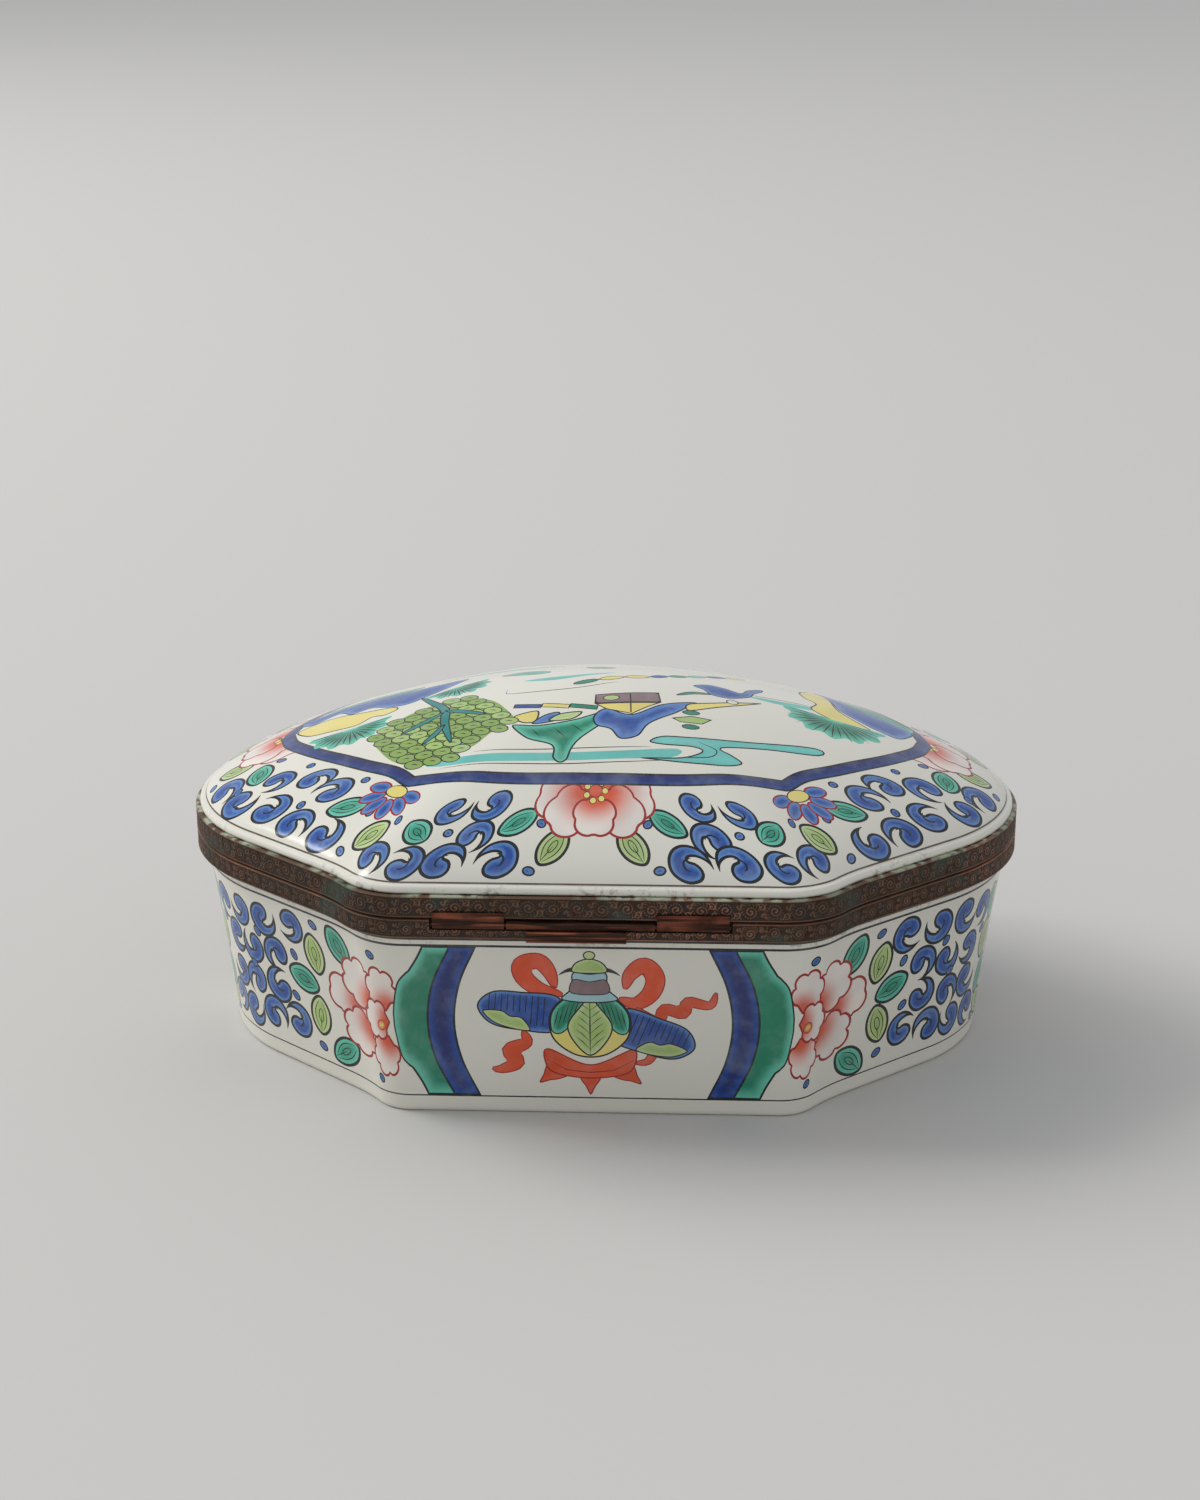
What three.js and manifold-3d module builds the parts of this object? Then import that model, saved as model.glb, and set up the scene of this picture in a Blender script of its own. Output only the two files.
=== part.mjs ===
// A hinged porcelain box with a domed lid. Both rims wear a metal band, and a
// small five-part hinge joins the bands along one long side. Millimetres, +Z up,
// X along the box, the hinge on the -Y side.
import * as THREE from 'three';
import { mergeVertices } from 'three/addons/utils/BufferGeometryUtils.js';
import Module from 'manifold-3d';

const wasm = await Module();
wasm.setup();

// Outline over the bands, seen from above
const halfLength = 82.5;
const halfDepth = 56;
const flatHalfLength = 35;
const shoulderRadius = 14.5;
const scallopRadius = 36;
const shoulderTurn = THREE.MathUtils.degToRad(53);
const flankTurn = THREE.MathUtils.degToRad(41);

// Heights above the table
const footHeight = 3.7;
const bodyHeight = 38.5;
const baseBandHeight = 3.9;
const lidBandHeight = 4.5;
const shoulderRise = 2.3;
const domeRise = 22.7;

// Porcelain walls
const wall = 3.6;
const bottomThickness = 4;
const footRecess = 1;
const footWidth = 5;
const footRounding = 0.9;
const footStep = 0.2;
const cavityFillet = 4;
const bodyInset = 1.5;
const bodyTaper = 5;
const taperPower = 0.75;
const shoulderInset = 2;
const shoulderOverhang = 0.8;
const domePower = 1.6;
const domeFullness = 0.75;
const crownEase = 0.6;
const innerEase = 0.6;
const innerLift = 0.8;

// Metal bands
const bandThickness = 1.5;
const flangeThickness = 0.9;
const bandEdge = 0.25;
const fitGap = 0.2;
const seamGap = 0.3;

// Hinge, soldered to the bands
const hingeCentre = -2;
const hingeLength = 54.4;
const middleLength = 27.2;
const knuckleGap = 0.4;
const knuckleRadius = 0.85;
const axisDrop = 1.1;
const axisRecess = 0.35;
const boreRadius = 0.5;
const pinRadius = 0.42;
const pinHead = 0.3;
const pinSides = 16;
const leafThickness = 0.3;
const leafRise = 1.5;
const channelGap = 0.15;
const channelMouth = 1;
const barLength = 18.4;
const barOffset = -0.8;
const barDepth = 0.6;
const barBottomRise = 0.3;
const barGap = 0.1;
const barGrooves = 2;
const grooveDepth = 0.2;
const grooveFlank = 0.15;

// Where the rings of each form lie, as shares of that form
const footProfile = [[1, 0], [0.3, 0.5], [0, 1.4]];
const bodyLevels = [0.1, 0.28, 0.5, 0.72, 0.88, 1];
const cavityLevels = [0.75, 0.45];
const filletShare = 0.3;
const shoulderLevels = [0.4, 0.8];
const domeLevels = [1, 0.98, 0.93, 0.84, 0.71, 0.56, 0.39, 0.2];
const flatSteps = 2;
const shoulderSteps = 5;
const scallopSteps = 2;
const flankSteps = 2;
const endSteps = 7;

const seamHeight = bodyHeight + baseBandHeight;
const lidBottom = seamHeight + seamGap / 2;
const baseTop = seamHeight - seamGap / 2;
const lidBandTop = seamHeight + lidBandHeight;
const domeFoot = lidBandTop + shoulderRise;
const porcelainInset = bandThickness + fitGap;
const innerInset = porcelainInset + wall;
const hingeReach = Math.max(knuckleRadius - axisRecess, barDepth);

// One quarter of the outline is a flat, a rounded shoulder, a shallow scallop, a
// straight flank and a round end. The flank and the end radius close the quarter.
function quarterOutline(inset) {
  const shoulderEnd = new THREE.Vector2(
    flatHalfLength + shoulderRadius * Math.sin(shoulderTurn),
    -halfDepth + shoulderRadius * (1 - Math.cos(shoulderTurn)),
  );
  const scallopCentre = new THREE.Vector2(
    shoulderEnd.x + scallopRadius * Math.sin(shoulderTurn),
    shoulderEnd.y - scallopRadius * Math.cos(shoulderTurn),
  );
  const flankStart = new THREE.Vector2(
    scallopCentre.x - scallopRadius * Math.sin(flankTurn),
    scallopCentre.y + scallopRadius * Math.cos(flankTurn),
  );
  const sine = Math.sin(flankTurn);
  const cosine = Math.cos(flankTurn);
  const alongX = halfLength - flankStart.x;
  const alongY = -flankStart.y;
  const flankLength = (alongX * cosine - alongY * (1 - sine)) / (cosine * cosine - sine * (1 - sine));
  const endRadius = (alongY - flankLength * sine) / cosine;
  const points = [];
  for (let i = 0; i < flatSteps; i += 1) {
    points.push(new THREE.Vector2((flatHalfLength * i) / flatSteps, -halfDepth + inset));
  }
  for (let i = 0; i <= shoulderSteps; i += 1) {
    const turn = (shoulderTurn * i) / shoulderSteps;
    points.push(new THREE.Vector2(
      flatHalfLength + (shoulderRadius - inset) * Math.sin(turn),
      -halfDepth + shoulderRadius - (shoulderRadius - inset) * Math.cos(turn),
    ));
  }
  for (let i = 1; i <= scallopSteps; i += 1) {
    const turn = THREE.MathUtils.lerp(shoulderTurn, flankTurn, i / scallopSteps);
    points.push(new THREE.Vector2(
      scallopCentre.x - (scallopRadius + inset) * Math.sin(turn),
      scallopCentre.y + (scallopRadius + inset) * Math.cos(turn),
    ));
  }
  const inward = new THREE.Vector2(-sine, cosine).multiplyScalar(inset);
  for (let i = 1; i < flankSteps; i += 1) {
    const along = (flankLength * i) / flankSteps;
    points.push(new THREE.Vector2(
      flankStart.x + along * cosine + inward.x,
      flankStart.y + along * sine + inward.y,
    ));
  }
  for (let i = 0; i < endSteps; i += 1) {
    const turn = THREE.MathUtils.lerp(flankTurn, Math.PI / 2, i / endSteps);
    points.push(new THREE.Vector2(
      halfLength - endRadius + (endRadius - inset) * Math.sin(turn),
      -(endRadius - inset) * Math.cos(turn),
    ));
  }
  return points;
}

// The whole outline, counter-clockwise from the middle of the hinge side
function outline(inset) {
  const quarter = quarterOutline(inset);
  const end = new THREE.Vector2(halfLength - inset, 0);
  const mirrored = quarter.slice(1).reverse().map((p) => new THREE.Vector2(p.x, -p.y));
  const right = [...quarter, end, ...mirrored];
  const left = right.map((p) => new THREE.Vector2(-p.x, -p.y));
  return [...right, ...left];
}

// A ring drawn in towards the middle loses its corners and ends as an ellipse
function ring(inset, height, scale = 1) {
  const roundness = (1 - scale) ** crownEase;
  return outline(inset).map((p) => {
    const angle = Math.atan2(p.y / (halfDepth - inset), p.x / (halfLength - inset));
    const roundX = (halfLength - inset) * Math.cos(angle);
    const roundY = (halfDepth - inset) * Math.sin(angle);
    return new THREE.Vector3(
      THREE.MathUtils.lerp(p.x, roundX, roundness) * scale,
      THREE.MathUtils.lerp(p.y, roundY, roundness) * scale,
      height,
    );
  });
}

// Joins rings of equal count into one closed skin. A closed section comes back to
// its first ring, and an open one is shut by a point at each end.
function loft(rings, poles) {
  const positions = [];
  const index = [];
  const count = rings[0].length;
  for (const points of rings) {
    for (const p of points) {
      positions.push(p.x, p.y, p.z);
    }
  }
  const bands = poles ? rings.length - 1 : rings.length;
  for (let r = 0; r < bands; r += 1) {
    const low = r * count;
    const high = ((r + 1) % rings.length) * count;
    for (let i = 0; i < count; i += 1) {
      const j = (i + 1) % count;
      index.push(low + i, low + j, high + j);
      index.push(low + i, high + j, high + i);
    }
  }
  if (poles) {
    poles.forEach((height, side) => {
      const pole = positions.length / 3;
      positions.push(0, 0, height);
      const start = side === 0 ? 0 : (rings.length - 1) * count;
      for (let i = 0; i < count; i += 1) {
        const j = (i + 1) % count;
        if (side === 0) {
          index.push(pole, start + j, start + i);
        } else {
          index.push(pole, start + i, start + j);
        }
      }
    });
  }
  const geometry = new THREE.BufferGeometry();
  geometry.setAttribute('position', new THREE.Float32BufferAttribute(positions, 3));
  geometry.setIndex(index);
  geometry.computeVertexNormals();
  return geometry;
}

function toManifold(geometry) {
  const plain = geometry.clone();
  plain.deleteAttribute('normal');
  plain.deleteAttribute('uv');
  const merged = mergeVertices(plain, 1e-4);
  return new wasm.Manifold(new wasm.Mesh({
    numProp: 3,
    vertProperties: new Float32Array(merged.attributes.position.array),
    triVerts: new Uint32Array(merged.index.array),
  }));
}

function toGeometry(solid) {
  const mesh = solid.getMesh();
  const geometry = new THREE.BufferGeometry();
  geometry.setAttribute('position', new THREE.BufferAttribute(mesh.vertProperties, 3));
  geometry.setIndex(new THREE.BufferAttribute(mesh.triVerts, 1));
  geometry.computeVertexNormals();
  return geometry;
}

// A section drawn in (y, z), extruded along X about the middle given
function alongX(shape, length, middle) {
  const geometry = new THREE.ExtrudeGeometry(shape, { depth: length, bevelEnabled: false, curveSegments: 10 });
  geometry.applyMatrix4(new THREE.Matrix4().makeBasis(
    new THREE.Vector3(0, 1, 0),
    new THREE.Vector3(0, 0, 1),
    new THREE.Vector3(1, 0, 0),
  ));
  geometry.translate(middle - length / 2, 0, 0);
  return geometry;
}

// How far the body's outer wall stands inside the bands at a height
function bodyInsetAt(height) {
  const down = (bodyHeight - height) / bodyHeight;
  return bodyInset + bodyTaper * down ** taperPower;
}

function domeRings(inset, foot, rise) {
  return domeLevels.map((scale) => {
    const height = foot + rise * (1 - scale ** domePower) ** domeFullness;
    return ring(inset, height, scale);
  });
}

function basePorcelain() {
  const footInset = bodyInsetAt(footHeight) + footStep;
  const rings = [
    ring(footInset + footWidth + footRecess, footRecess),
    ring(footInset + footWidth, 0),
    ...footProfile.map(([inwards, upwards]) => ring(footInset + footRounding * inwards, footRounding * upwards)),
  ];
  for (const share of bodyLevels) {
    const height = share * (bodyHeight - fitGap);
    rings.push(ring(bodyInsetAt(height), height));
  }
  const rimTop = baseTop - flangeThickness - fitGap;
  rings.push(ring(porcelainInset, bodyHeight - fitGap));
  rings.push(ring(porcelainInset, rimTop));
  rings.push(ring(innerInset, rimTop));
  const floor = footRecess + bottomThickness;
  for (const share of cavityLevels) {
    const height = floor + (rimTop - floor) * share;
    rings.push(ring(bodyInsetAt(height) + wall, height));
  }
  const filletTop = floor + cavityFillet;
  const filletInset = bodyInsetAt(filletTop) + wall;
  rings.push(ring(filletInset, filletTop));
  rings.push(ring(filletInset + cavityFillet * filletShare, floor + cavityFillet * filletShare));
  rings.push(ring(filletInset + cavityFillet, floor));
  return loft(rings, [footRecess, floor]);
}

function lidPorcelain() {
  const rimBottom = lidBottom + flangeThickness + fitGap;
  const inside = [
    ring(innerInset, rimBottom),
    ring(innerInset + innerEase / 3, domeFoot - wall),
    ...domeRings(innerInset + innerEase, domeFoot - wall + innerLift, domeRise - innerLift),
  ].reverse();
  const outside = [
    ring(porcelainInset, rimBottom),
    ring(porcelainInset, lidBandTop + fitGap),
    ring(porcelainInset - shoulderOverhang, lidBandTop + fitGap),
    ring(porcelainInset - shoulderOverhang, lidBandTop + shoulderRise * shoulderLevels[0]),
    ring(shoulderInset - shoulderOverhang / 2, lidBandTop + shoulderRise * shoulderLevels[1]),
    ...domeRings(shoulderInset, domeFoot, domeRise),
  ];
  const insideTop = domeFoot - wall + domeRise;
  return loft([...inside, ...outside], [insideTop, domeFoot + domeRise]);
}

// An angle-section ring: the upright wraps the porcelain and the flange covers its rim
function band(outerHeight, flangeHeight) {
  const inwards = Math.sign(outerHeight - flangeHeight);
  const flangeTop = flangeHeight + inwards * flangeThickness;
  const section = [
    [0, flangeHeight + inwards * bandEdge],
    [0, outerHeight - inwards * bandEdge],
    [bandEdge, outerHeight],
    [bandThickness, outerHeight],
    [bandThickness, flangeTop],
    [innerInset, flangeTop],
    [innerInset, flangeHeight],
    [bandEdge, flangeHeight],
  ];
  if (inwards < 0) {
    section.reverse();
  }
  return loft(section.map(([inset, height]) => ring(inset, height)));
}

const axisY = -halfDepth + axisRecess;
const axisZ = seamHeight - axisDrop;

// The base band gives way to the barrel of the hinge
function baseBand() {
  const channel = new THREE.Shape();
  const radius = knuckleRadius + channelGap;
  channel.moveTo(axisY + radius, seamHeight);
  channel.lineTo(axisY - radius - channelMouth, seamHeight);
  channel.lineTo(axisY - radius - channelMouth, axisZ);
  channel.lineTo(axisY - radius, axisZ);
  channel.absarc(axisY, axisZ, radius, Math.PI, 2 * Math.PI);
  channel.closePath();
  const cutter = alongX(channel, hingeLength + 2 * (pinHead + channelGap), hingeCentre);
  return toGeometry(toManifold(band(bodyHeight, baseTop)).subtract(toManifold(cutter)));
}

function knuckle(length, middle, leaf) {
  const shape = new THREE.Shape();
  if (leaf) {
    const leafTop = seamHeight + leafRise;
    const leafBack = axisY - knuckleRadius + leafThickness;
    const join = Math.acos((knuckleRadius - leafThickness) / knuckleRadius);
    shape.absarc(axisY, axisZ, knuckleRadius, -Math.PI, Math.PI - join);
    shape.lineTo(leafBack, leafTop);
    shape.lineTo(axisY - knuckleRadius, leafTop);
    shape.closePath();
  } else {
    shape.absarc(axisY, axisZ, knuckleRadius, 0, 2 * Math.PI);
  }
  const bore = new THREE.Path();
  bore.absarc(axisY, axisZ, boreRadius, 0, 2 * Math.PI);
  shape.holes.push(bore);
  return alongX(shape, length, middle);
}

function stopBar() {
  const top = axisZ - knuckleRadius - barGap;
  const bottom = bodyHeight - barBottomRise;
  const back = -halfDepth - barGap;
  const front = -halfDepth - barDepth;
  const step = (top - bottom) / (barGrooves * 2 + 1);
  const flank = step * grooveFlank;
  const shape = new THREE.Shape();
  shape.moveTo(back, bottom);
  shape.lineTo(back, top);
  shape.lineTo(front + grooveDepth / 2, top);
  for (let i = 0; i <= barGrooves; i += 1) {
    const ridgeTop = top - step * 2 * i;
    shape.lineTo(front, ridgeTop - flank);
    shape.lineTo(front, ridgeTop - step + flank);
    if (i < barGrooves) {
      shape.lineTo(front + grooveDepth, ridgeTop - step - flank);
      shape.lineTo(front + grooveDepth, ridgeTop - step * 2 + flank);
    }
  }
  shape.lineTo(front + grooveDepth / 2, bottom);
  shape.closePath();
  return alongX(shape, barLength, hingeCentre + barOffset);
}

function pin() {
  const geometry = new THREE.CylinderGeometry(pinRadius, pinRadius, hingeLength + 2 * pinHead, pinSides);
  geometry.rotateZ(Math.PI / 2);
  geometry.translate(hingeCentre, axisY, axisZ);
  return geometry;
}

const porcelain = new THREE.MeshStandardMaterial({ color: 0xdfdcd4, roughness: 0.25, metalness: 0 });
const bronze = new THREE.MeshStandardMaterial({ color: 0x5a4335, roughness: 0.55, metalness: 0.9 });
const copper = new THREE.MeshStandardMaterial({ color: 0x8c5237, roughness: 0.45, metalness: 0.9 });

const box = new THREE.Group();

function place(name, geometry, material) {
  const mesh = new THREE.Mesh(geometry, material);
  mesh.name = name;
  box.add(mesh);
}

const sideLength = (hingeLength - middleLength) / 2 - knuckleGap;
const sideOffset = (hingeLength - sideLength) / 2;

place('base_porcelain', basePorcelain(), porcelain);
place('base_band', baseBand(), bronze);
place('hinge_knuckle_middle', knuckle(middleLength, hingeCentre, false), bronze);
place('stop_bar', stopBar(), copper);
place('hinge_pin', pin(), bronze);
place('lid_porcelain', lidPorcelain(), porcelain);
place('lid_band', band(lidBandTop, lidBottom), bronze);
place('hinge_knuckle_left', knuckle(sideLength, hingeCentre - sideOffset, true), bronze);
place('hinge_knuckle_right', knuckle(sideLength, hingeCentre + sideOffset, true), bronze);

// The hinge stands out on one side, so the box moves back by half of that
box.position.y = hingeReach / 2;

export default box;
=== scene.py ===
import math
import random

import bmesh
import bpy
import numpy as np
from mathutils import Matrix, Vector
from mathutils.geometry import delaunay_2d_cdt


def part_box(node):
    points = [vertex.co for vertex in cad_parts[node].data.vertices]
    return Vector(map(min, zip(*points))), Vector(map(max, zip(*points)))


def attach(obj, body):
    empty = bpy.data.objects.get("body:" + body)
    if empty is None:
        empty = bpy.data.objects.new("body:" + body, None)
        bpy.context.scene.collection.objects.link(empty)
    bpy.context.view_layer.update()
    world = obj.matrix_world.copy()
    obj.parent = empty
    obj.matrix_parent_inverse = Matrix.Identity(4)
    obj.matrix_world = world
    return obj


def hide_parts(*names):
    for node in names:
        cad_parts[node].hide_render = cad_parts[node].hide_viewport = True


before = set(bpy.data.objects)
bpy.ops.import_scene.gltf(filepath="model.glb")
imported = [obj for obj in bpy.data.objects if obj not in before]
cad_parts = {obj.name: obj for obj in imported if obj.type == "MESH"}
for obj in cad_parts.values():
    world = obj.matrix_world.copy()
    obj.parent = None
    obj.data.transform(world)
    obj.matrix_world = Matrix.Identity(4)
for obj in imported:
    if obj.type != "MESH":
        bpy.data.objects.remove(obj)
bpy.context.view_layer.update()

# The body's porcelain
# A moulded and glazed porcelain bowl with a tapering wall and a low foot. It is painted in
# enamels on the glaze, so its outer skin is one mesh cut along the painter's outlines.
MM = 0.001
band_low, band_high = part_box("lid_band")
half_length = (band_high.x - band_low.x) / 2 / MM
half_depth = (band_high.y - band_low.y) / 2 / MM
middle_y = (band_high.y + band_low.y) / 2
flat_half_length = 35
shoulder_radius = 14.5
scallop_radius = 36
shoulder_turn = math.radians(53)
flank_turn = math.radians(41)

shoulder_end = np.array([
    flat_half_length + shoulder_radius * math.sin(shoulder_turn),
    -half_depth + shoulder_radius * (1 - math.cos(shoulder_turn)),
])
scallop_centre = shoulder_end + scallop_radius * np.array([math.sin(shoulder_turn), -math.cos(shoulder_turn)])
flank_start = scallop_centre + scallop_radius * np.array([-math.sin(flank_turn), math.cos(flank_turn)])
flank_length, end_radius = np.linalg.solve(
    [[math.cos(flank_turn), 1 - math.sin(flank_turn)], [math.sin(flank_turn), math.cos(flank_turn)]],
    [half_length - flank_start[0], -flank_start[1]],
)
marks = np.cumsum([
    flat_half_length,
    shoulder_radius * shoulder_turn,
    scallop_radius * (shoulder_turn - flank_turn),
    flank_length,
    end_radius * (math.pi / 2 - flank_turn),
])
quarter = marks[-1]
girth = 4 * quarter


def plan(along, inset=0.0):
    """A point of the outline, drawn in by an inset, and its inward direction."""
    along = np.asarray(along, float)
    fold = np.abs((along + quarter) % (2 * quarter) - quarter)
    right = np.where(along % girth < 2 * quarter, 1.0, -1.0)
    near = np.where((along + quarter) % girth < 2 * quarter, 1.0, -1.0)
    where = [fold < mark for mark in marks[:4]]
    turn = np.select(
        where,
        [0 * fold, (fold - marks[0]) / shoulder_radius,
         shoulder_turn - (fold - marks[1]) / scallop_radius, 0 * fold + flank_turn],
        flank_turn + (fold - marks[3]) / end_radius,
    )
    sine = np.sin(turn)
    cosine = np.cos(turn)
    x = np.select(
        where,
        [fold, flat_half_length + (shoulder_radius - inset) * sine,
         scallop_centre[0] - (scallop_radius + inset) * sine,
         flank_start[0] + (fold - marks[2]) * cosine - inset * sine],
        half_length - end_radius + (end_radius - inset) * sine,
    )
    y = np.select(
        where,
        [0 * fold - half_depth + inset, -half_depth + shoulder_radius - (shoulder_radius - inset) * cosine,
         scallop_centre[1] + (scallop_radius + inset) * cosine,
         flank_start[1] + (fold - marks[2]) * sine + inset * cosine],
        -(end_radius - inset) * cosine,
    )
    return right * x, near * y, -right * sine, near * cosine


def placed(x, y, z):
    """Millimetres about the bands' middle turned into metres in the frame."""
    return np.stack([x * MM, y * MM + middle_y, z * MM + 0 * x], -1)


body_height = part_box("base_band")[0].z / MM
body_inset = 1.5
body_taper = 5
taper_power = 0.75


def body_inset_at(height):
    down = np.clip((body_height - height) / body_height, 0, None)
    return body_inset + body_taper * down ** taper_power


def body_surface(along, height):
    x, y, _, _ = plan(along, body_inset_at(height))
    return placed(x, y, height)


def hue(red, green, blue):
    """A colour as the eye reads it, turned into light."""
    return np.array([red, green, blue]) ** 2.2


glaze_white = hue(0.87, 0.86, 0.81)
ink = hue(0.02, 0.03, 0.06)
cobalt = hue(0.07, 0.28, 0.59)
cobalt_pale = hue(0.35, 0.53, 0.77)
cobalt_deep = hue(0.00, 0.13, 0.40)
emerald = hue(0.00, 0.50, 0.38)
leaf_green = hue(0.10, 0.58, 0.46)
emerald_pale = hue(0.38, 0.77, 0.66)
lime = hue(0.63, 0.74, 0.42)
lime_pale = hue(0.75, 0.82, 0.56)
olive = hue(0.52, 0.64, 0.31)
yellow = hue(0.90, 0.83, 0.45)
coral = hue(0.84, 0.30, 0.14)
coral_pale = hue(0.92, 0.88, 0.84)
brick = hue(0.60, 0.09, 0.09)
teal = hue(0.40, 0.74, 0.70)
mauve = hue(0.52, 0.42, 0.43)
sky = hue(0.62, 0.77, 0.79)


def turned(shape, angle=0.0, at=(0.0, 0.0), size=1.0, flip=False):
    """A shape scaled, mirrored, turned by degrees and set down."""
    shape = np.array(shape, float) * size
    if flip:
        shape = shape * [1, -1]
    cosine = math.cos(math.radians(angle))
    sine = math.sin(math.radians(angle))
    return shape @ np.array([[cosine, sine], [-sine, cosine]]) + np.array(at, float)


def area(shape):
    x, y = shape.T
    return 0.5 * np.sum(x * np.roll(y, -1) - y * np.roll(x, -1))


def drawn_in(shape, amount):
    """A closed outline moved inwards by the amount."""
    ahead = np.roll(shape, -1, 0) - np.roll(shape, 1, 0)
    inward = np.stack([-ahead[:, 1], ahead[:, 0]], -1) * np.sign(area(shape))
    inward /= np.maximum(np.linalg.norm(inward, axis=1, keepdims=True), 1e-9)
    return shape + inward * amount


def curve(knots, closed=True, spacing=0.6):
    """A smooth line through given knots, with points at an even spacing."""
    knots = np.array(knots, float)
    count = len(knots)
    if closed:
        wrapped = np.vstack([knots[-1], knots, knots[0], knots[1]])
        spans = count
    else:
        wrapped = np.vstack([2 * knots[0] - knots[1], knots, 2 * knots[-1] - knots[-2]])
        spans = count - 1
    line = []
    for i in range(spans):
        a, b, c, d = wrapped[i:i + 4]
        steps = max(2, int(np.linalg.norm(c - b) / spacing))
        t = np.linspace(0, 1, steps, endpoint=False)[:, None]
        line.append(0.5 * (2 * b + (c - a) * t + (2 * a - 5 * b + 4 * c - d) * t ** 2
                           + (3 * b - a - 3 * c + d) * t ** 3))
    if not closed:
        line.append(knots[-1:])
    return np.vstack(line)


def split(outline, longest=0.9):
    """A closed outline with its long edges cut into short ones, so that they follow the skin."""
    pieces = []
    for start, end in zip(outline, np.roll(outline, -1, 0)):
        steps = max(1, math.ceil(np.linalg.norm(end - start) / longest))
        pieces.append(start + (end - start) * (np.arange(steps) / steps)[:, None])
    return np.vstack(pieces)


def stroke(line, width, taper=True):
    """The outline of a brush stroke along an open line."""
    line = np.array(line, float)
    ahead = np.gradient(line, axis=0)
    ahead /= np.maximum(np.linalg.norm(ahead, axis=1, keepdims=True), 1e-9)
    side = np.stack([-ahead[:, 1], ahead[:, 0]], -1)
    share = np.linspace(0, 1, len(line))[:, None]
    half = width / 2 * (np.clip(np.sin(share * math.pi), 0.02, 1) ** 0.4 if taper else 1 + 0 * share)
    return np.vstack([line + side * half, (line - side * half)[::-1]])


def ellipse(long, wide, steps=22):
    angle = np.linspace(0, 2 * math.pi, steps, endpoint=False)
    return np.stack([long / 2 * np.cos(angle), wide / 2 * np.sin(angle)], -1)


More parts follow.
